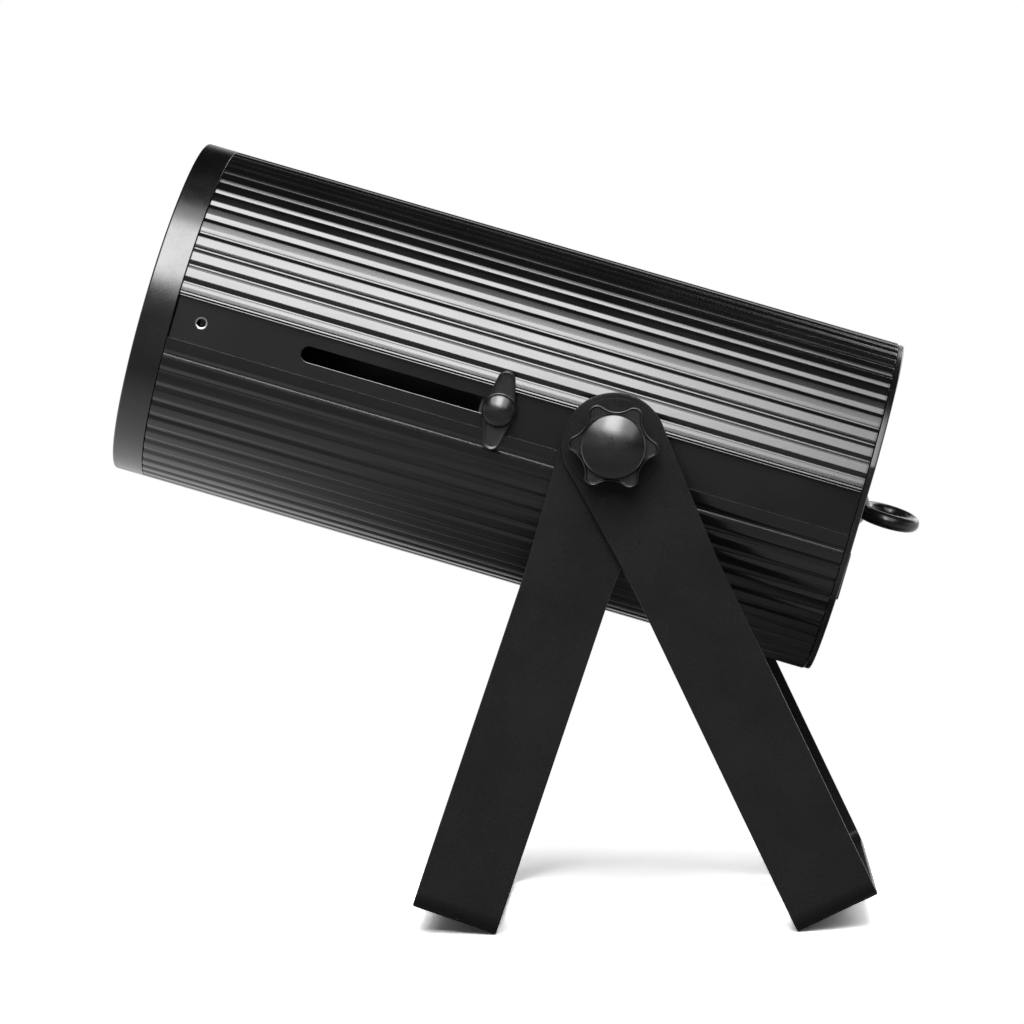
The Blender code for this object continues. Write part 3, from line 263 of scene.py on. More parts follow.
def rectangle(width, height, centre=(0, 0)):
    x, y = width / 2, height / 2
    return [(centre[0] + a * x, centre[1] + b * y) for a, b in ((-1, -1), (1, -1), (1, 1), (-1, 1))]


def rounded_rectangle(width, height, corner, centre=(0, 0), steps=6):
    x, y = width / 2 - corner, height / 2 - corner
    points = []
    for k, (sx, sy) in enumerate(((1, 1), (-1, 1), (-1, -1), (1, -1))):
        middle = (centre[0] + sx * x, centre[1] + sy * y)
        points += arc(middle, corner, k * QUARTER, (k + 1) * QUARTER, steps)
    return points


def eased_section(inner, outer, low, high, edge, side=1):
    """A washer's section with all four corners rounded, on either side of the middle."""
    left, right, bottom, top = inner + edge, outer - edge, low + edge, high - edge
    points = []
    for k, corner in enumerate(((right, top), (left, top), (left, bottom), (right, bottom))):
        points += arc(corner, edge, k * QUARTER, (k + 1) * QUARTER, 3)
    return [(r, side * h) for r, h in points]


def levels_at(base, *rows):
    """Pairs in metres from pairs in mm, the second of each counted from base."""
    return [(a * MM, base + b * MM) for a, b in rows]


def mirrored(points):
    """The same points across the middle plane, in the opposite order."""
    return [(-x, z) for x, z in points[::-1]]


def flat_loop(outline, height, axis):
    first, second, along = PLANES[axis]
    return [first * u + second * v + along * height for u, v in outline]


def drawn_in(outline, levels, radius):
    """Sections along Y of an outline, drawn in by each level's inset at the given radius."""
    loops = []
    for inset, place in levels:
        share = 1 - inset / radius
        loops.append(flat_loop([(x * share, z * share) for x, z in outline], place, "Y"))
    return loops


def loft(loops, bm=None, wrap=False):
    """Quads between successive loops of points, with the ends capped or joined round."""
    bm = bmesh.new() if bm is None else bm
    rows = [[bm.verts.new(point) for point in loop] for loop in loops]
    pairs = list(zip(rows, rows[1:]))
    if wrap:
        pairs.append((rows[-1], rows[0]))
    else:
        bm.faces.new(rows[0][::-1])
        bm.faces.new(rows[-1])
    count = len(rows[0])
    for near, far in pairs:
        for i in range(count):
            j = (i + 1) % count
            bm.faces.new((near[i], near[j], far[j], far[i]))
    return bm


def prism(outline, low, high, axis, bm=None):
    return loft([flat_loop(outline, low, axis), flat_loop(outline, high, axis)], bm)


def turned(profile, segments, axis, centre=(0, 0), bm=None):
    """A solid of revolution from (radius, height) pairs, capped flat at both ends."""
    return loft([flat_loop(circle(r, segments, centre), h, axis) for r, h in profile], bm)


def ring(profile, segments, axis):
    """A ring whose section is the closed outline of (radius, height) pairs."""
    first, second, along = PLANES[axis]
    loops = []
    for i in range(segments):
        angle = math.tau * i / segments
        out = first * math.cos(angle) + second * math.sin(angle)
        loops.append([out * r + along * h for r, h in profile])
    return loft(loops, wrap=True)


FRAMES = {}


def make_object(name, bm, look, matrix=None, sharp=SHARP):
    """One object whose mesh is placed by the matrix and whose own origin stays at the world's."""
    bmesh.ops.recalc_face_normals(bm, faces=bm.faces)
    mesh = bpy.data.meshes.new(name)
    bm.to_mesh(mesh)
    bm.free()
    if matrix is not None:
        mesh.transform(matrix)
    mesh.shade_smooth()
    mesh.set_sharp_from_angle(angle=math.radians(sharp))
    obj = bpy.data.objects.new(name, mesh)
    bpy.context.scene.collection.objects.link(obj)
    mesh.materials.append(M[look])
    FRAMES[name] = matrix
    return obj


def combine(obj, bm, look, operation="DIFFERENCE", sharp=SHARP):
    """Cuts a helper shape in obj's own frame out of it, or joins it to it, for good."""
    helper = make_object(obj.name + "_helper", bm, look, FRAMES[obj.name])
    modifier = obj.modifiers.new("combine", "BOOLEAN")
    modifier.operation = operation
    modifier.object = helper
    modifier.solver = "EXACT"
    modifier.material_mode = "TRANSFER"
    bpy.context.view_layer.update()
    graph = bpy.context.evaluated_depsgraph_get()
    mesh = bpy.data.meshes.new_from_object(obj.evaluated_get(graph))
    old, spare = obj.data, helper.data
    name = old.name
    obj.modifiers.clear()
    obj.data = mesh
    bpy.data.meshes.remove(old)
    mesh.name = name
    bpy.data.objects.remove(helper)
    bpy.data.meshes.remove(spare)
    mesh.shade_smooth()
    mesh.set_sharp_from_angle(angle=math.radians(sharp))


def fit(obj, body, slot, *nodes):
    """The piece rides on a body and stands for its solids, which it hides."""
    normals = obj.modifiers.new("normals", "WEIGHTED_NORMAL")
    normals.mode = "FACE_AREA"
    normals.weight = NORMAL_WEIGHT
    normals.keep_sharp = True
    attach(obj, body)
    if nodes:
        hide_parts(*nodes)


# Materials


SPAN = (0.3, 0.7)  # what most of a noise lies between
DUST = (0.34, 0.34, 0.33)
DUST_CELLS = 95
DUST_SIZE = 0.06


class Graph:
    """A small builder of shader nodes."""

    def __init__(self, owner, clear=True):
        owner.use_nodes = True
        self.tree = owner.node_tree
        if clear:
            self.tree.nodes.clear()

    def feed(self, sockets, values):
        """Gives each socket a number, a vector, a colour or another node's output."""
        for key, value in values.items():
            socket = sockets[key]
            if isinstance(value, bpy.types.NodeSocket):
                self.tree.links.new(value, socket)
            else:
                socket.default_value = (*value, 1) if socket.type == "RGBA" else value

    def add(self, kind, values=(), **settings):
        """The outputs of a new node."""
        node = self.tree.nodes.new(kind)
        for key, value in settings.items():
            setattr(node, key, value)
        self.feed(node.inputs, dict(values))
        return node.outputs

    def remap(self, value, low, high, to_low=0, to_high=1, kind="LINEAR"):
        values = {"Value": value, "From Min": low, "From Max": high, "To Min": to_low, "To Max": to_high}
        return self.add("ShaderNodeMapRange", values, interpolation_type=kind)["Result"]

    def math(self, operation, first, second):
        return self.add("ShaderNodeMath", {0: first, 1: second}, operation=operation)["Value"]

    def mix(self, factor, first, second):
        values = {"Factor": factor, 6: first, 7: second}
        return self.add("ShaderNodeMix", values, data_type="RGBA")[2]


class Finish(Graph):
    """A material on a Principled shader."""

    def __init__(self, name, colour, roughness, metallic=0.0, specular=0.5):
        self.material = bpy.data.materials.new(name)
        super().__init__(self.material, False)
        self.material.diffuse_color = (*colour, 1)
        self.shader = self.tree.nodes["Principled BSDF"].inputs
        plain = {"Base Color": colour, "Roughness": roughness, "Metallic": metallic}
        self.feed(self.shader, plain | {"Specular IOR Level": specular})
        self.place = self.add("ShaderNodeTexCoord")["Object"]

    def stretched(self, scale):
        values = {"Vector": self.place, "Rotation": (-TILT, 0, 0), "Scale": scale}
        return self.add("ShaderNodeMapping", values, vector_type="TEXTURE")["Vector"]

    def noise(self, scale, detail=3.0, stretch=None, rough=0.55, seed=0.0):
        place = self.stretched(stretch) if stretch else self.place
        values = {"W": seed, "Scale": scale, "Detail": detail, "Roughness": rough, "Vector": place}
        return self.add("ShaderNodeTexNoise", values, noise_dimensions="4D")["Fac"]

    def specks(self, scale, size, share):
        """1 in a sparse scatter of small dots."""
        cells = self.add("ShaderNodeTexVoronoi", {"Scale": scale, "Vector": self.place})
        near = self.remap(cells["Distance"], size * 0.4, size, 1, 0)
        chance = self.add("ShaderNodeSeparateColor", {"Color": cells["Color"]})["Red"]
        return self.math("MULTIPLY", near, self.remap(chance, 1 - share, 1 - share * 0.7))

    def finish(self, colour, roughness, height, depth):
        """Links the looks to the shader, with a bump that is depth mm high."""
        values = {"Strength": 1.0, "Distance": depth * MM, "Height": height}
        normal = self.add("ShaderNodeBump", values)["Normal"]
        self.feed(self.shader, {"Base Color": colour, "Roughness": roughness, "Normal": normal})
        return self.material


def scaled(colour, factor):
    return tuple(c * factor for c in colour)


def coated(
    name, colour, roughness, metallic=0, specular=0.5, grain=900, depth=0.02, spread=0.25,
    rough_spread=0.06, smudge=14, dust=0, stretch=None,
):
    """Painted, anodised or moulded: fine grain, faint smudges and a little dust."""
    n = Finish(name, colour, roughness, metallic, specular)
    fine = n.noise(grain, 3, stretch)
    broad = n.noise(smudge, 5, None, 0.6, 3.1)
    tone = n.mix(n.remap(broad, *SPAN), scaled(colour, 1 - spread), scaled(colour, 1 + spread))
    tone = n.mix(n.remap(fine, 0.35, 0.65, 0, 0.5), tone, scaled(colour, 1 + 2 * spread))
    rough = n.remap(broad, *SPAN, roughness - rough_spread, roughness + rough_spread)
    rough = n.math("ADD", rough, n.remap(fine, *SPAN, -0.3 * rough_spread, 0.3 * rough_spread))
    if dust:
        dots = n.specks(DUST_CELLS, DUST_SIZE, dust)
        tone = n.mix(dots, tone, DUST)
        rough = n.math("ADD", rough, n.math("MULTIPLY", dots, 0.4))
    return n.finish(tone, rough, fine, depth)


def metal(name, colour, roughness, grain=500, stretch=None, spread=0.12, depth=0.01):
    n = Finish(name, colour, roughness, 1.0)
    fine = n.noise(grain, 3, stretch)
    broad = n.noise(25, 4, None, 0.6, 1.7)
    tone = n.mix(n.remap(broad, *SPAN), scaled(colour, 1 - spread), colour)
    return n.finish(tone, n.remap(fine, *SPAN, roughness - 0.06, roughness + 0.08), fine, depth)


def glazed(name, colour, roughness, scale, tones, rough_map, depth, specular=0.5, ior=None):
    """Smooth under a faint film, and clear where it has an index of refraction."""
    n = Finish(name, colour, roughness, 0, specular)
    if ior:
        n.feed(n.shader, {"Transmission Weight": 1, "IOR": ior})
    film = n.noise(scale, 4)
    tone = n.mix(n.remap(film, *SPAN), *tones)
    return n.finish(tone, n.remap(film, *rough_map), film, depth)


# Name, colour, roughness, metallic, specular, grain's scale and depth in mm, spread of tone and of
# roughness, smudges' scale, share of dust, stretch of the grain
COATED = {
    "shell": (
        "satin_black_shell", (0.0025, 0.0025, 0.0027), 0.22, 0, 1.0, 1100, 0.01, 0.25, 0.03, 18, 0.02,
        (1, 8, 1),
    ),
    "ring": (
        "satin_black_ring", (0.0028, 0.0028, 0.003), 0.26, 0, 1.0, 700, 0.006, 0.25, 0.07, 30, 0.02,
    ),
    "yoke": (
        "powder_black_strap", (0.0105, 0.0105, 0.011), 0.27, 0, 0.24, 800, 0.012, 0.22, 0.05, 22, 0.03,
    ),
    "eye": ("gloss_black_eye", (0.007, 0.007, 0.007), 0.24, 0, 0.6, 600, 0.006),
    "knob": ("grained_black_knob", (0.005, 0.005, 0.005), 0.3, 0, 0.8, 1200, 0.11, 0.35, 0.07),
    "cap": ("satin_black_cap", (0.004, 0.004, 0.004), 0.25, 0, 1.0, 900, 0.006, 0.3, 0.05, 60),
    "fibre": ("fibre_washer", (0.013, 0.013, 0.0125), 0.6, 0, 0.3, 1500, 0.03, 0.3),
    "silicone": ("silicone_seal", (0.03, 0.03, 0.03), 0.6, 0, 0.4, 700, 0.01),
    "black_steel": ("black_steel", (0.02, 0.02, 0.021), 0.4, 0.5, 0.5, 700, 0.01),
    "socket": ("socket_black", (0.02, 0.02, 0.021), 0.45),
    "button": ("button_grey", (0.09, 0.09, 0.09), 0.5, 0, 0.5, 900, 0.02, 0.12),
    "blue": ("socket_blue", (0.02, 0.06, 0.22), 0.45, 0, 0.5, 900, 0.02, 0.12),
    "pale": ("socket_pale", (0.32, 0.33, 0.34), 0.45, 0, 0.5, 900, 0.02, 0.12),
    "case": ("driver_case", (0.3, 0.31, 0.32), 0.45, 0.6, 0.5, 700, 0.02, 0.1),
    "green": ("board_green", (0.015, 0.09, 0.04), 0.4, 0, 0.5, 500, 0.01, 0.2),
    "white": ("board_white", (0.7, 0.7, 0.68), 0.4, 0, 0.5, 500, 0.01, 0.05),
    "phosphor": ("phosphor", (0.8, 0.62, 0.12), 0.5, 0, 0.5, 900, 0.02, 0.06),
}
# Name, colour, roughness, grain's scale and stretch, spread of tone
METAL = {
    "steel": ("zinc_steel", (0.52, 0.52, 0.51), 0.34),
    "bright": ("turned_aluminium", (0.82, 0.82, 0.82), 0.22, 900),
    "aluminium": ("bare_aluminium", (0.66, 0.66, 0.67), 0.38, 700, (8, 1, 1)),
    "mirror": ("mirror_finish", (0.86, 0.86, 0.86), 0.1, 300, None, 0.03),
    "brass": ("contact_brass", (0.7, 0.52, 0.24), 0.28),
}
# Name, colour, roughness, film's scale, its two tones, its map to roughness, its depth in mm,
# specular, index of refraction
GLAZED = {
    "glass": (
        "clear_glass", (0.96, 0.98, 0.97), 0.02, 40, ((0.94, 0.97, 0.96), (0.98, 0.99, 0.985)),
        (0.4, 0.75, 0.01, 0.05), 0.003, 0.5, 1.46,
    ),
    "lens": (
        "lens_acrylic", (0.97, 0.98, 0.98), 0.04, 60, ((0.93, 0.95, 0.95), (0.98, 0.985, 0.985)),
        (0.35, 0.75, 0.03, 0.09), 0.004, 0.5, 1.49,
    ),
    "window": (
        "display_window", (0.008, 0.008, 0.01), 0.08, 45, ((0.006, 0.006, 0.008), (0.014, 0.014, 0.017)),
        (0.4, 0.75, 0.06, 0.14), 0.003, 0.6,
    ),
}
M = {}
for make, rows in ((coated, COATED), (metal, METAL), (glazed, GLAZED)):
    for key, row in rows.items():
        M[key] = make(*row)


# Ribbed shells


def rib_radius(angle, shift=0):
    """Wide flat crests with narrow grooves at the multiples of the pitch, turned back by shift."""
    turn = abs(((angle + shift) / RIB_PITCH + 0.5) % 1 - 0.5) * RIB_PITCH
    place = turn * TUBE_RADIUS / MM
    drop = 0
    for (low, first), (high, last) in zip(RIB_SLOPE, RIB_SLOPE[1:]):
        if place < high:
            start = max(place, low)
            at_start = first + (last - first) * (start - low) / (high - low)
            drop += (high - start) * (at_start + last) / 2
    return TUBE_RADIUS - drop * MM


def edge_point(height):
    radius = rib_radius(math.asin(height / TUBE_RADIUS))
    return math.sqrt(radius**2 - height**2), height


def ribbed_arc(start, end, shift=0):
    step = RIB_PITCH / POINTS_PER_RIB
    angles = [i * step for i in range(math.floor(start / step) + 1, math.ceil(end / step))]
    angles = [a for a in angles if min(a - start, end - a) > LAST_POINT * step]
    return [polar(rib_radius(a, shift), a) for a in angles]


def bore_arc(start, end):
    """The shells' inside between two angles, with the flats behind the bands and the screw ports."""
    flat = math.acos(BAND_INSIDE / TUBE_BORE)
    step = math.tau / BORE_STEPS
    reach = PORT_RADIUS / TUBE_BORE * PORT_MARGIN
    items = []
    for angle in [i * step for i in range(-BORE_STEPS, BORE_STEPS)]:
        on_flat = abs(TUBE_BORE * math.cos(angle)) > BAND_INSIDE
        if not on_flat and all(abs(angle - p) >= reach for p in PORTS):
            items.append((angle, [polar(TUBE_BORE, angle)]))
    for angle in [k * math.pi + s * flat for k in range(-1, 3) for s in (-1, 1)]:
        items.append((angle, [polar(TUBE_BORE, angle)]))
    meet = math.acos(
        (TUBE_BORE**2 + PORT_CENTRE**2 - PORT_RADIUS**2) / (2 * TUBE_BORE * PORT_CENTRE)
    )
    side = math.atan2(TUBE_BORE * math.sin(meet), TUBE_BORE * math.cos(meet) - PORT_CENTRE)
    for angle in PORTS:
        ends = (angle - side, angle + side - math.tau)
        items.append((angle, arc(polar(PORT_CENTRE, angle), PORT_RADIUS, *ends, 16)))
    items = sorted((i for i in items if start < i[0] < end), key=lambda item: item[0])
    return [point for _, group in items for point in group]


def upper_outline():
    """Ribs down to a dent and a lip at the seam, with a tongue inside that covers the seam's gap."""
    x, z = edge_point(SEAM_HEIGHT + GAP / 2)
    dent = edge_point(SEAM_HEIGHT + DENT_HEIGHT)
    lip = (x, z + LIP_HEIGHT)
    corner = fillet((BAND_INSIDE, z), (x, z), lip, LIP_ROUND)
    corner += [lip, (dent[0] - DENT_DEPTH, dent[1]), (dent[0] - DENT_RISE, dent[1] + DENT_RISE)]
    start = math.atan2(dent[1] + DENT_END, dent[0])
    outer = [*corner, *ribbed_arc(start, math.pi - start), *mirrored(corner)]
    step, foot = BAND_INSIDE + TONGUE_WIDTH, z - TONGUE_HEIGHT
    tongue = [(BAND_INSIDE, foot), (step, foot), (step, z)]
    return [*outer, *mirrored(tongue), *bore_arc(0, math.pi)[::-1], *tongue]


def lower_outline():
    """Flat bands between a ledge over the ribs and a rounded ridge under the seam."""
    z = -BAND_HALF
    x = math.sqrt(TUBE_RADIUS**2 - z**2)
    top = SEAM_HEIGHT - GAP / 2
    shelf = top - RIDGE_HEIGHT
    below = (math.sqrt(TUBE_RADIUS**2 - (z - CREST_DROP) ** 2), z - CREST_DROP)
    rib = fillet((BAND_FACE, z), (x, z), below, LEDGE_EDGE)
    ridge = fillet((RIDGE_FACE, shelf), (RIDGE_FACE, top), (BAND_INSIDE, top), RIDGE_ROUND, 8)
    right = [below, *rib[::-1], (BAND_FACE, z), (BAND_FACE, shelf), (RIDGE_FACE, shelf), *ridge]
    half = ribbed_arc(1.5 * math.pi, math.tau - CREST_END, LOWER_SHIFT)
    outer = [*mirrored(right), *mirrored(half), *half, *right]
    return [*outer, (BAND_INSIDE, top), *bore_arc(math.pi, math.tau)[::-1], (-BAND_INSIDE, top)]


def shell_loops(outline):
    """Sections of a shell from front to rear, eased at both ends."""
    ease = 0.3 * SHELL_EDGE
    end = ((SHELL_EDGE, 0), (ease, ease), (0, SHELL_EDGE), (0, SHELL_ROW))
    levels = [(inset, SHELL_FRONT + step) for inset, step in end]
    levels += [(inset, SHELL_REAR - step) for inset, step in end[::-1]]
    return drawn_in(outline, levels, TUBE_RADIUS)


def slot_outline(half):
    front, rear = SLOT_FRONT + SLOT_WIDTH / 2, SLOT_REAR - SLOT_WIDTH / 2
    rear_end = arc((rear, 0), half, -QUARTER, QUARTER, 24)
    return rear_end + arc((front, 0), half, QUARTER, 3 * QUARTER, 24)


def build_shells():
    upper = make_object("upper_ribbed_shell", loft(shell_loops(upper_outline())), "shell", HEAD)
    fit(upper, "head", "shell_black", "upper_shell")
    lower = make_object("lower_ribbed_shell", loft(shell_loops(lower_outline())), "shell", HEAD)
    half = SLOT_WIDTH / 2
    inside, outside = BAND_INSIDE - HOLE_DEPTH, BAND_FACE + HOLE_DEPTH
    slot = (
        (half, inside),
        (half, BAND_FACE - SLOT_EDGE),
        (half + 0.25 * SLOT_EDGE, BAND_FACE - CHAMFER_DEPTH * SLOT_EDGE),
        (half + 2.5 * SLOT_EDGE, BAND_FACE + CHAMFER_DEPTH * SLOT_EDGE),
    )
    slots = loft([flat_loop(slot_outline(h), x, "X") for h, x in slot])
    threads = bmesh.new()
    sink = CHAMFER_DEPTH * THREAD_CHAMFER
    for side in (-1, 1):
        turned([(STUD_HOLE, side * inside), (STUD_HOLE, side * outside)], 32, "X", (0, 0), slots)
        thread = [
            (THREAD_HOLE, side * inside),
            (THREAD_HOLE, side * (BAND_FACE - sink)),
            (THREAD_HOLE + 2 * THREAD_CHAMFER, side * (BAND_FACE + sink)),
        ]
        turned(thread, 48, "X", (THREAD_PLACE, 0), threads)
    combine(lower, slots, "shell")
    combine(lower, threads, "bright")
    fit(lower, "head", "shell_black", "lower_shell")


def build_front():
    edge, front, lip = RING_EDGE, RING_FRONT, RING_FRONT + RING_LIP
    joint = SHELL_FRONT - GAP
    end = joint + SPIGOT_LENGTH
    round_centre = (TUBE_RADIUS - RING_ROUND, front + RING_ROUND)
    profile = [(RING_APERTURE + edge, front), *arc(round_centre, RING_ROUND, -QUARTER, 0, 8)]
    profile += arc((TUBE_RADIUS - edge, joint - edge), edge, 0, QUARTER, 3)
    profile += [
        (SPIGOT_RADIUS, joint),
        (SPIGOT_RADIUS, end - edge),
        (SPIGOT_RADIUS - edge, end),
        (SPIGOT_BORE, end),
        (SPIGOT_BORE, lip),
        (RING_APERTURE + edge, lip),
        (RING_APERTURE, lip - edge),
        (RING_APERTURE, front + edge),
    ]
    piece = make_object("front_ring_turned", ring(profile, 256, "Y"), "ring", HEAD)
    fit(piece, "head", "shell_black", "front_ring")

    inside = SPIGOT_BORE - GAP
    seal = lip + GAP
    section = eased_section(RING_APERTURE, inside, seal, seal + SEAL_THICK, 0.5 * MM)
    piece = make_object("glass_seal", ring(section, 192, "Y"), "silicone", HEAD)
    fit(piece, "head", "silicone", "glass_gasket")

    rear = GLASS_FRONT + GLASS_THICK
    profile = [
        (1 * MM, GLASS_FRONT),
        (inside - edge, GLASS_FRONT),
        (inside, GLASS_FRONT + edge),
        (inside, rear - edge),
        (inside - edge, rear),
        (1 * MM, rear),
    ]
    piece = make_object("glass_pane", turned(profile, 192, "Y"), "glass", HEAD)
    fit(piece, "head", "clear_glass", "front_glass")

    rear = RETAINER_FRONT + RETAINER_THICK
    section = eased_section(RETAINER_BORE, inside, RETAINER_FRONT, rear, 0.6 * MM)
    piece = make_object("glass_clamp_ring", ring(section, 192, "Y"), "black_steel", HEAD)
    combine(piece, rod_holes(RETAINER_FRONT + 1 * MM, rear + OVERCUT), "black_steel")
    fit(piece, "head", "black_steel", "glass_retaining_ring")


def rod_holes(low, high):
    holes = bmesh.new()
    for side in (-1, 1):
        prism(circle(ROD_HOLE, 32, (0, side * ROD_PLACE)), low, high, "Y", holes)
    return holes


# Rear panel


def build_rear():
    flat = math.acos(PLATE_FLAT / PLATE_RADIUS)
    top = arc((0, 0), PLATE_RADIUS, flat, math.pi - flat, 90)
    levels = levels_at(PLATE_FRONT, (0.3, 0), (0, 0.3))
    levels += levels_at(PLATE_REAR, (0, -1), (0.15, -0.5), (0.5, -0.15), (1, 0))
    loops = drawn_in(top + [(-x, -z) for x, z in top], levels, PLATE_RADIUS)
    plate = make_object("rear_panel", loft(loops), "ring", HEAD)

    low, high = PLATE_FRONT - OVERCUT, PLATE_REAR + OVERCUT

    def hole(radius):
        """Profile of a hole with an eased rim."""
        flare = (radius + OVERCUT + HOLE_EDGE, high)
        return [(radius, low), (radius, PLATE_REAR - HOLE_EDGE), flare]

    sink = [(2.3 * MM, low), *levels_at(PLATE_REAR, (2.3, -2.2), (4.1, -0.3), (4.1, 1))]
    screws = [polar(PORT_CENTRE, angle) for angle in PORTS]
    cutter = bmesh.new()
    for profile, places in (
        (hole(STUD_HOLE), [(0, 0)]),
        (hole(SOCKET_HOLE), SOCKETS),
        (hole(BUTTON_HOLE), BUTTONS),
        (sink, screws),
        (hole(FUSE_HOLE), [FUSE]),
    ):
        for centre in places:
            turned(profile, 40, "Y", centre, cutter)
    prism(rounded_rectangle(46.6 * MM, 18.6 * MM, 0.6 * MM, WINDOW), low, high, "Y", cutter)
    combine(plate, cutter, "ring")
    fit(plate, "head", "shell_black", "rear_plate")

    for i, centre in enumerate(screws, 1):
        build_screw(f"panel_screw_{i}", f"rear_plate_screw_{i}", centre)


def build_screw(name, node, centre):
    """A countersunk screw, flush with the panel, with a hexagon recess."""
    profile = levels_at(PLATE_REAR, (2, -16), (2, -2.2), (3.8, -0.3), (3.78, -0.12), (3.62, 0))
    screw = make_object(name, turned(profile, 40, "Y", centre), "black_steel", HEAD)
    key = circle(1.45 * MM, 6, centre, 0.4)
    combine(screw, prism(key, PLATE_REAR - 1.4 * MM, PLATE_REAR + OVERCUT, "Y"), "black_steel")
    fit(screw, "head", "black_steel", node)


def build_eye():
    centre = SEAT + EYE_OUTER / 2 - EYE_SINK
    rod = (EYE_OUTER - EYE_INNER) / 4
    bow = ring(circle(rod, 36, ((EYE_OUTER + EYE_INNER) / 4, 0)), 128, "Z")
    bmesh.ops.rotate(bow, verts=bow.verts, matrix=Matrix.Rotation(EYE_TURN, 3, "Y"))
    eye = make_object("lifting_eye", bow, "eye", HEAD @ Matrix.Translation((0, centre, 0)))
    stem = levels_at(
        SEAT - centre, (5, -17), (5, 0), (12.1, 0), (12.5, 0.4), (12.5, 2.2), (12.2, 2.9), (9.4, 4.8),
        (7, 6.3), (5, 7.4),
    )
    combine(eye, turned(stem, 64, "Y"), "eye", "UNION", 40)
    fit(eye, "head", "yoke_black", "eye_bolt")


def build_sockets():
    face = SEAT + 2 * MM
    floor = face - SOCKET_DEPTH
    flange = rounded_rectangle(26 * MM, 31 * MM, 3 * MM)
    rim = [(0, SEAT), *levels_at(face, (0, -0.5), (0.15, -0.15), (0.5, 0))]
    barrel = levels_at(face, (12, -24), (12, -1))
    recess = [(9.5 * MM, floor), *levels_at(face, (9.5, -0.6), (11.1, 1))]
    key = rectangle(3 * MM, 2.4 * MM, (0, 9.6 * MM))
    names = ("power_inlet", "power_outlet", "data_input", "data_output")
    inserts = ("blue", "pale", "socket", "socket")
    for name, insert, (x, z) in zip(names, inserts, SOCKETS):
        place = HEAD @ Matrix.Translation((x, 0, z))
        loops = drawn_in(flange, rim, FLANGE_REACH)
        socket = make_object(f"{name}_socket", loft(loops), "socket", place)
        combine(socket, turned(barrel, 64, "Y"), "socket", "UNION")
        combine(socket, turned(recess, 64, "Y"), insert)
        combine(socket, prism(key, floor, face + OVERCUT, "Y"), insert)
        for side in (-1, 1):
            hole = circle(1.6 * MM, 24, (side * 9.9 * MM, -side * 12.4 * MM))
            combine(socket, prism(hole, face - 1 * MM, face + OVERCUT, "Y"), "steel")
        fit(socket, "head", "socket_black", name)
        build_contacts(name, place, floor)

    profile = levels_at(
        SEAT, (6, -20), (6, 0), (8.2, 0), (8.5, 0.3), (8.5, 1.1), (8.1, 1.7), (7.2, 2), (1, 2)
    )
    place = HEAD @ Matrix.Translation((FUSE[0], 0, FUSE[1]))
    fuse = make_object("fuse_cap", turned(profile, 64, "Y"), "socket", place)
    slot = prism(rectangle(10 * MM, 1.6 * MM), SEAT + 1.1 * MM, SEAT + 4 * MM, "Y")
    combine(fuse, slot, "socket")
    fit(fuse, "head", "socket_black", "fuse_holder")


def build_contacts(name, place, floor):
    """Three blades in a power socket or five pins in a data socket, on the floor of its recess."""
    bm = bmesh.new()
    if name.startswith("power"):
        for k in range(3):
            centre = polar(5.2 * MM, math.tau * k / 3 + QUARTER)
            blade = rounded_rectangle(3.4 * MM, 1.6 * MM, 0.5 * MM, centre, 3)
            prism(blade, floor + 0.02 * MM, floor + 8 * MM, "Y", bm)
    else:
        pin = levels_at(floor, (0.9, 0.02), (0.9, 6.4), (0.4, 7))
        for k in range(5):
            turned(pin, 16, "Y", polar(5.4 * MM, math.pi * (1.12 + 0.76 * k / 4)), bm)
    fit(make_object(f"{name}_contacts", bm, "brass", place), "head", "zinc_steel")


def build_controls():
    rear = PLATE_REAR + 0.6 * MM
    outer = rounded_rectangle(46 * MM, 18 * MM, 0.5 * MM, WINDOW)
    inner = rounded_rectangle(45.2 * MM, 17.2 * MM, 0.4 * MM, WINDOW)
    levels = ((outer, PLATE_FRONT - 4.5 * MM), (outer, rear - 0.4 * MM), (inner, rear))
    loops = [flat_loop(outline, level, "Y") for outline, level in levels]
    pane = make_object("display_pane", loft(loops), "window", HEAD)
    fit(pane, "head", "window_dark", "display_window")
    front = PLATE_FRONT - 5 * MM + GAP + 1.2 * MM - PLATE_REAR
    profile = [(4 * MM, front)]
    profile += levels_at(0, (4, 2.1), (3.86, 2.42), (3.5, 2.58), (2.6, 2.5), (1.2, 2.36), (0.3, 2.34))
    for i, (x, z) in enumerate(BUTTONS, 1):
        place = HEAD @ Matrix.Translation((x, PLATE_REAR, z))
        button = make_object(f"round_button_{i}", turned(profile, 40, "Y"), "button", place)
        fit(button, f"menu_button_{i}", "button_grey", f"menu_button_{i}")


# Lens and light engine


def build_engine():
    front = EMITTER_REAR - REFLECTOR_LENGTH
    inner = []
    for i in range(REFLECTOR_STEPS + 1):
        t = i / REFLECTOR_STEPS
        inner.append(((16 + 28 * t**0.85) * MM, EMITTER_REAR + (front - EMITTER_REAR) * t))
    outer = [(r + REFLECTOR_WALL, h) for r, h in inner]
    piece = make_object("reflector_bowl", ring(inner + outer[::-1], 96, "Y"), "mirror", HEAD)
    fit(piece, "head", "mirror_finish", "reflector")
    profile = levels_at(EMITTER_REAR, (14, 0), (14, -0.6), (13.6, -0.9), (0.5, -0.9))
    piece = make_object("emitter_disc", turned(profile, 64, "Y"), "phosphor", HEAD)
    fit(piece, "head", "phosphor", "led_emitter")


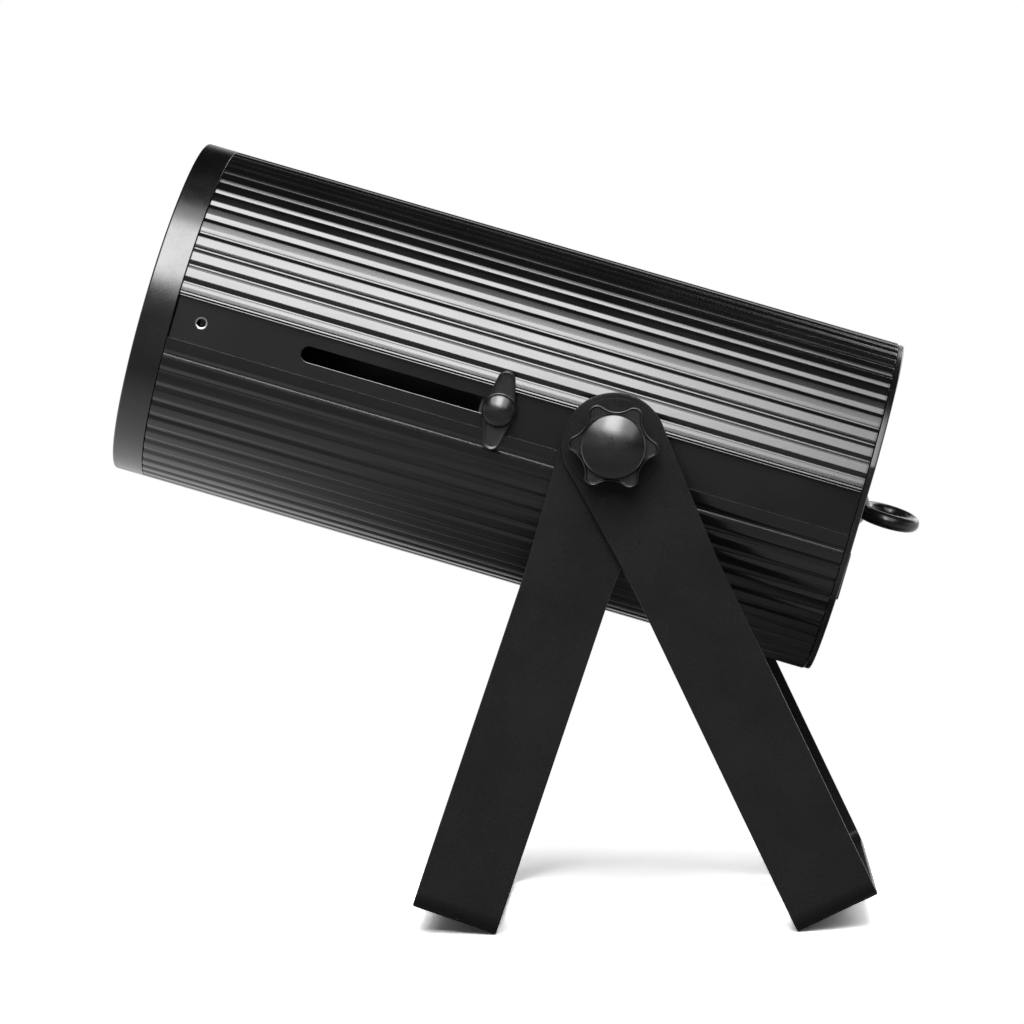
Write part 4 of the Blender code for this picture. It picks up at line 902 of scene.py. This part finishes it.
def lens_profile():
    """Flat back and a fine stepped front, each ridge rising outwards to its step."""
    edge, back, front = 0.4 * MM, LENS_THICK / 2, -LENS_THICK / 2
    points = [(edge, back), (74.6 * MM, back), (LENS_RADIUS, back - edge)]
    points += [(LENS_RADIUS, front), (CELL_OPENING, front)]
    step = CELL_OPENING / LENS_RIDGES
    side = RIDGE_SIDE * step
    for i in range(LENS_RIDGES - 1, 0, -1):
        points += [(i * step + side, front - LENS_RIDGE), (i * step - side, front)]
    return points + [(edge, front - LENS_RIDGE)]


def build_carriage():
    zoom = HEAD @ Matrix.Translation((0, ZOOM_REST, 0))
    rear, seat = CELL_HALF, CELL_HALF - CELL_LIP
    edge = 0.5 * MM
    profile = [
        (CELL_OPENING, rear),
        (CELL_RADIUS - edge, rear),
        (CELL_RADIUS, rear - edge),
        (CELL_RADIUS, -rear + edge),
        (CELL_RADIUS - edge, -rear),
        (CELL_BORE, -rear),
        (CELL_BORE, seat),
        (CELL_OPENING, seat),
    ]
    cell = make_object("lens_holder", ring(profile, 160, "Y"), "knob", zoom)
    lugs = bmesh.new()
    for side in (-1, 1):
        lug = rounded_rectangle(18 * MM, 19 * MM, 3 * MM, (0, side * 86.5 * MM))
        prism(lug, -rear + edge, rear - edge, "Y", lugs)
    combine(cell, lugs, "knob", "UNION")
    combine(cell, rod_holes(-2 * rear, 2 * rear), "knob")
    fit(cell, "zoom_carriage", "shell_black", "lens_cell")

    lens_rear = seat - GAP
    place = zoom @ Matrix.Translation((0, lens_rear - LENS_THICK / 2, 0))
    lens = make_object("stepped_lens", turned(lens_profile(), 160, "Y"), "lens", place, 20)
    fit(lens, "zoom_carriage", "lens_acrylic", "fresnel_lens")
    clip_rear = lens_rear - LENS_THICK - GAP
    section = eased_section(72 * MM, LENS_RADIUS, clip_rear - 2.5 * MM, clip_rear, 0.4 * MM)
    clip = make_object("lens_clip_ring", ring(section, 160, "Y"), "black_steel", zoom)
    fit(clip, "zoom_carriage", "black_steel", "lens_retaining_ring")
    build_wing(zoom)


def wing_outline(grow):
    """Two wings with round ends and straight sides that narrow from the collar."""
    reach = WING_REACH - WING_TIP
    spread = math.acos((WING_ROOT - WING_TIP) / reach)
    points = []
    for end in (1, -1):
        start, stop = QUARTER * end - spread, QUARTER * end + spread
        points.append(polar(WING_ROOT + grow, start))
        points += arc((0, end * reach), WING_TIP + grow, start, stop, 24)
        points.append(polar(WING_ROOT + grow, stop))
    c, s = math.cos(WING_LEAN), math.sin(WING_LEAN)
    return [(y * c - z * s, y * s + z * c) for y, z in points]


def dome(radius, foot, top, edge, lean):
    """Radius and height along a dome whose rounded rim runs on into a sphere at the angle lean."""
    inner = radius - edge * (1 - math.sin(lean))
    sphere = inner / math.sin(lean)
    shoulder = top - sphere * (1 - math.cos(lean))
    points = [(radius, foot)]
    for k in range(7):
        angle = QUARTER - (QUARTER - lean) * k / 6
        reach = radius - edge * (1 - math.sin(angle))
        points.append((reach, shoulder - edge * (math.cos(lean) - math.cos(angle))))
    for k in range(1, 16):
        angle = lean * (1 - k / 16)
        points.append((sphere * math.sin(angle), top - sphere * (1 - math.cos(angle))))
    return [*points, (0.2 * MM, top)]


def build_wing(zoom):
    pivot = zoom @ Matrix.Translation((BAND_FACE, 0, 0))
    top, foot = WING_TOP, WING_TOP - 0.5 * MM
    levels = levels_at(WING_UNDER, (-0.7, 0), (-0.2, 0.2), (0, 0.7))
    levels += levels_at(
        foot, (0, -1), (-0.12, -0.6), (-0.45, -0.2), (-0.9, 0), (-1.4, -0.1), (-1.9, -0.4), (-2.4, -0.5)
    )
    loops = [flat_loop(wing_outline(grow), level, "X") for grow, level in levels]
    knob = make_object("wing_grip", loft(loops), "knob", pivot, 30)
    dome_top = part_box("wing_knob")[1].x - BAND_FACE
    rim = levels_at(top, (0, -0.5), (0.15, -0.15), (0.4, 0), (0.7, -0.1))
    profile = [(WING_COLLAR - 1 * MM, GAP), (WING_COLLAR, GAP + 1 * MM)]
    profile += [(WING_COLLAR - inset, level) for inset, level in rim]
    profile += [(10 * MM, foot), *dome(9.9 * MM, foot, dome_top, 1.2 * MM, math.radians(33))]
    combine(knob, turned(profile, 96, "X"), "cap", "UNION", 30)
    combine(knob, prism(circle(3.3 * MM, 32), -OVERCUT, 10.25 * MM, "X"), "knob", sharp=30)
    fit(knob, "wing_knob", "knob_black", "wing_knob")


# Pivot and clamping knobs


def star_outline(grow):
    """Blunt lobes joined by hollow arcs, moved out by grow."""
    half = math.pi / STAR_LOBES
    reach = STAR_TIP - STAR_NOSE
    along, across = polar(reach, half)
    slack = STAR_VALLEY - STAR_NOSE
    place = (along**2 + across**2 - slack**2) / (2 * (along - slack))
    lean = math.atan2(place * math.sin(half), place * math.cos(half) - reach)
    points = []
    for i in range(STAR_LOBES):
        turn = 2 * half * i + STAR_TURN
        points += arc(polar(reach, turn), STAR_NOSE + grow, turn - lean, turn + lean, 14)
        ends = (turn + lean + math.pi, turn + 2 * half - lean + math.pi)
        points += arc(polar(place, turn + half), place - STAR_VALLEY - grow, *ends, 14)[1:-1]
    return points


def build_pivot(side, name):
    # Piece, node, radius, start and end in mm, material, slot, edge in mm
    rings = (
        (f"spacer_{name}", f"pivot_spacer_{name}", 13.5, 105.1, 127.7, "ring", "shell_black", 0.5),
        (f"wide_washer_{name}", f"outer_washer_{name}", 29.5, 138.1, 139.6, "yoke", "fibre", 0.15),
    )
    for piece, node, radius, low, high, look, slot, edge in rings:
        section = eased_section(STUD_HOLE, radius * MM, low * MM, high * MM, edge * MM, side)
        fit(make_object(piece, ring(section, 96, "X"), look, HEAD), "head", slot, node)

    pivot = HEAD @ Matrix.Translation((side * KNOB_BASE, 0, 0))
    levels = levels_at(STAR_LOW, (-2.2, 0), (-0.8, 0.15), (-0.2, 0.6), (0, 1.4))
    levels += levels_at(
        STAR_HIGH, (0, -1.5), (-0.06, -0.9), (-0.2, -0.4), (-0.42, -0.1), (-0.7, 0), (-1, -0.12),
        (-1.3, -0.5), (-1.6, -0.8), (-2, -0.9),
    )
    loops = [flat_loop(star_outline(grow), side * level, "X") for grow, level in levels]
    knob = make_object(f"lobed_knob_{name}", loft(loops), "knob", pivot, 30)
    hub = [(13.5 * MM, 0), (14 * MM, side * 0.5 * MM), (14 * MM, side * (STAR_LOW + 1 * MM))]
    combine(knob, turned(hub, 64, "X"), "knob", "UNION", 30)
    bore = prism(circle(STUD_HOLE, 32), -side * OVERCUT, side * 12.3 * MM, "X")
    combine(knob, bore, "steel", sharp=30)
    fit(knob, f"star_knob_{name}", "knob_black", f"star_knob_{name}")

    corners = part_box(f"star_knob_cap_{name}")
    top = abs(corners[0 if side < 0 else 1].x) - KNOB_BASE
    base = STAR_HIGH - 0.85 * MM
    curve = dome(20.3 * MM, base + 0.4 * MM, top, 2.6 * MM, math.radians(23))
    profile = [(r, side * h) for r, h in [(19.9 * MM, base), *curve]]
    cap = make_object(f"domed_cap_{name}", turned(profile, 120, "X"), "cap", pivot, 40)
    fit(cap, f"star_knob_{name}", "cap_black", f"star_knob_cap_{name}")


# Yokes


def build_yoke(name, node, body, matrix, face, length):
    """A flat strap bent to a U, its arms ending in round heads, with eased edges all round."""
    half, radius, middle = STRAP_WIDTH / 2, YOKE_HEAD_RADIUS, STRAP_THICK / 2
    rows = []
    for k in range(4):
        ease = QUARTER * k / 3
        rows.append((STRAP_EDGE * (1 - math.sin(ease)), middle - STRAP_EDGE * (1 - math.cos(ease))))
    rows += [(inset, -depth) for inset, depth in rows[::-1]]

    def section(point):
        """A loop round the strap, with its +Y edge at point(inset, depth)."""
        near = [Vector(point(inset, depth)) for inset, depth in rows]
        return near + [Vector((p.x, -p.y, p.z)) for p in near[::-1]]

    start = YOKE_HEAD_START
    tangent = math.acos(radius / math.hypot(YOKE_TAPER, half)) - math.atan2(YOKE_TAPER, half)
    loops = []
    for i in range(41):
        c, s = polar(1, start + (tangent - start) * i / 40)
        loops.append(section(lambda e, d: (face - middle + d, (radius - e) * c, (radius - e) * s)))
    path = [((face - middle, -YOKE_TAPER), (1, 0))]
    centre = (face - YOKE_BEND, YOKE_BEND - length)
    for angle in [-QUARTER * i / 16 for i in range(17)]:
        path.append((polar(YOKE_BEND - middle, angle, centre), polar(1, angle)))
    for (x, z), (nx, nz) in path:
        loops.append(section(lambda e, d: (x + nx * d, half - e, z + nz * d)))
    loops += [[Vector((-p.x, p.y, p.z)) for p in loop] for loop in loops[::-1]]
    yoke = make_object(name, loft(loops), "yoke", matrix, 30)

    across = face + OVERCUT
    cutter = prism(circle(STUD_HOLE, 40), -across, across, "X")
    bottom, top = -length, -length + STRAP_THICK
    profile = [
        (CLAMP_HOLE + CLAMP_FLARE, bottom - OVERCUT),
        (CLAMP_HOLE, bottom + CLAMP_EDGE),
        (CLAMP_HOLE, top - CLAMP_EDGE),
        (CLAMP_HOLE + CLAMP_FLARE, top + OVERCUT),
    ]
    turned(profile, 56, "Z", (0, 0), cutter)
    combine(yoke, cutter, "yoke", sharp=30)
    fit(yoke, body, "yoke_black", node)


def build_yokes():
    half, length = STRAP_WIDTH / 2, REAR_YOKE_LENGTH
    rear_lean = math.acos(PIVOT.z / math.hypot(length, half)) + math.atan2(half, length)
    place = Matrix.Translation(PIVOT)
    front = place @ Matrix.Rotation(-FRONT_LEAN, 4, "X")
    rear = place @ Matrix.Rotation(rear_lean, 4, "X")
    build_yoke("front_strap_yoke", "front_yoke", "base", front, YOKE_FACE, YOKE_LENGTH)
    build_yoke("rear_strap_yoke", "rear_yoke", "rear_yoke", rear, REAR_YOKE_FACE, REAR_YOKE_LENGTH)
    for side, name in SIDES:
        section = eased_section(STUD_HOLE, 24 * MM, 132.3 * MM, 133.5 * MM, 0.3 * MM, side)
        washer = make_object(f"thin_washer_{name}", ring(section, 96, "X"), "fibre", front)
        fit(washer, "base", "fibre", f"friction_washer_{name}")


# Solids that stay, in better materials


def dress_nodes():
    looks = {
        "steel": ["eye_bolt_nut", "guide_rod_top", "guide_rod_bottom"]
        + [n for n in frame["nodes"] if n.startswith(("pivot_stud", "pivot_block"))],
        "socket": [n for n in frame["nodes"] if n.startswith(("wing_stud", "slide_block"))],
        "aluminium": ["heat_sink", "led_mount_plate", "driver_tray"],
        "green": ["control_board"],
        "white": ["led_board"],
        "case": ["led_driver"],
    }
    for look, nodes in looks.items():
        for node in nodes:
            mesh = frame["nodes"][node].data
            mesh.materials.clear()
            mesh.materials.append(M[look])


# Floor, light and camera


def build_floor():
    """Grey for the light that it throws back, white to the camera, and pure white further out."""
    M["floor"] = bpy.data.materials.new("pale_floor")
    g = Graph(M["floor"])
    rays = g.add("ShaderNodeLightPath")
    place = g.add("ShaderNodeTexCoord")["Object"]
    seen = g.math("MAXIMUM", rays["Is Camera Ray"], rays["Is Transmission Ray"])
    tone = g.mix(seen, (FLOOR_SHADE,) * 3, (FLOOR_SEEN,) * 3)
    diffuse = g.add("ShaderNodeBsdfDiffuse", {"Color": tone})[0]
    ends = {0: place, 1: FLOOR_CENTRE}
    distance = g.add("ShaderNodeVectorMath", ends, operation="DISTANCE")["Value"]
    far = g.remap(distance, *FLOOR_FADE, kind="SMOOTHSTEP")
    behind = g.remap(g.add("ShaderNodeSeparateXYZ", {0: place})["X"], *FLOOR_BEHIND, 1, 0)
    every = g.math("MAXIMUM", seen, g.math("MULTIPLY", behind, rays["Is Glossy Ray"]))
    share = g.math("MULTIPLY", far, every)
    white = g.add("ShaderNodeEmission")[0]
    surface = g.add("ShaderNodeMixShader", {0: share, 1: diffuse, 2: white})[0]
    g.add("ShaderNodeOutputMaterial", {"Surface": surface})

    bm = bmesh.new()
    bm.faces.new([bm.verts.new((x, y, 0)) for x, y in circle(FLOOR_RADIUS, 96)])
    make_object("pale_floor", bm, "floor")


def build_world():
    """White where the camera, glass or gloss looks at the backdrop, with a dark room over the light."""
    world = bpy.data.worlds.new("studio")
    bpy.context.scene.world = world
    g = Graph(world)
    rays = g.add("ShaderNodeLightPath")
    way = g.add("ShaderNodeSeparateXYZ", {0: g.add("ShaderNodeTexCoord")["Generated"]})
    backdrop = g.remap(way["Z"], *BACKDROP_RISE, 1, 0, "SMOOTHSTEP")
    behind = g.remap(way["X"], *BACKDROP_SIDE, 1, 0, "SMOOTHSTEP")
    front = g.remap(way["Y"], *BACKDROP_FRONT, BACKDROP_FRONT_SHARE, 0, "SMOOTHSTEP")
    shown = g.math("MULTIPLY", backdrop, g.math("MAXIMUM", behind, front))
    room = g.math("MAXIMUM", g.math("MULTIPLY", rays["Is Diffuse Ray"], FILL), ROOM)
    seen = g.math("MAXIMUM", rays["Is Camera Ray"], rays["Is Transmission Ray"])
    seen = g.math("MAXIMUM", seen, g.math("MULTIPLY", rays["Is Glossy Ray"], shown))
    values = {"Color": (1, 1, 1), "Strength": g.math("MAXIMUM", seen, room)}
    g.add("ShaderNodeOutputWorld", {"Surface": g.add("ShaderNodeBackground", values)[0]})


def add_light(name, centre, target, across, width, height, radiance):
    """A soft box of the given radiance, with its height along the direction across."""
    data = bpy.data.lights.new(name, "AREA")
    data.shape = "RECTANGLE"
    data.size, data.size_y = width, height
    data.energy = radiance * math.pi * width * height
    data.spread = math.pi
    light = bpy.data.objects.new(name, data)
    bpy.context.scene.collection.objects.link(light)
    back = (Vector(centre) - Vector(target)).normalized()
    up = Vector(across)
    up = (up - back * up.dot(back)).normalized()
    turn = Matrix((up.cross(back), up, back)).transposed().to_4x4()
    light.matrix_world = Matrix.Translation(centre) @ turn
    light.visible_camera = False


def build_lights():
    """Soft boxes along the tube on the camera's side, brightest over its front, and one behind."""
    along = Vector((0, math.cos(TILT), -math.sin(TILT)))
    rise = Vector((0, math.sin(TILT), math.cos(TILT)))
    for name, start, end, low, high, radiance in SOFT_BOX:
        angles = (math.radians(low), math.radians(high))
        ways = [X * math.cos(a) + rise * math.sin(a) for a in angles]
        ends = [way * BOX_DISTANCE for way in ways]
        middle = PIVOT + (ends[0] + ends[1]) / 2
        across = ends[1] - ends[0]
        shift = along * ((start + end) / 2)
        size = (end - start, across.length)
        add_light(name, middle + shift, PIVOT + shift, across.normalized(), *size, radiance)
    place = PIVOT + Vector(BEHIND_PLACE)
    add_light("box_behind", place, PIVOT, (0, 0, 1), BEHIND_SIZE, BEHIND_SIZE, BEHIND_RADIANCE)


def build_camera():
    yaw, pitch, roll = [math.radians(a) for a in CAMERA_TURN]
    level = math.cos(pitch)
    away = Vector((-math.cos(yaw) * level, math.sin(yaw) * level, -math.sin(pitch)))
    right = Vector((math.sin(yaw), math.cos(yaw), 0))
    right = (right - away * right.dot(away)).normalized()
    up = right.cross(away)
    turned_right = right * math.cos(roll) + up * math.sin(roll)
    turned_up = -right * math.sin(roll) + up * math.cos(roll)
    data = bpy.data.cameras.new("camera")
    data.lens, data.sensor_width = CAMERA_LENS, CAMERA_SENSOR
    data.clip_start, data.clip_end = CAMERA_CLIP
    camera = bpy.data.objects.new("camera", data)
    bpy.context.scene.collection.objects.link(camera)
    rotation = Matrix((turned_right, turned_up, -away)).transposed().to_4x4()
    camera.matrix_world = Matrix.Translation(PIVOT + CAMERA_PLACE) @ rotation
    bpy.context.scene.camera = camera


build_camera()
build_floor()
build_world()
build_lights()
bpy.context.scene.view_settings.view_transform = "Standard"

build_shells()
build_front()
build_rear()
build_eye()
build_sockets()
build_controls()
build_engine()
build_carriage()
for side, name in SIDES:
    build_pivot(side, name)
build_yokes()
dress_nodes()
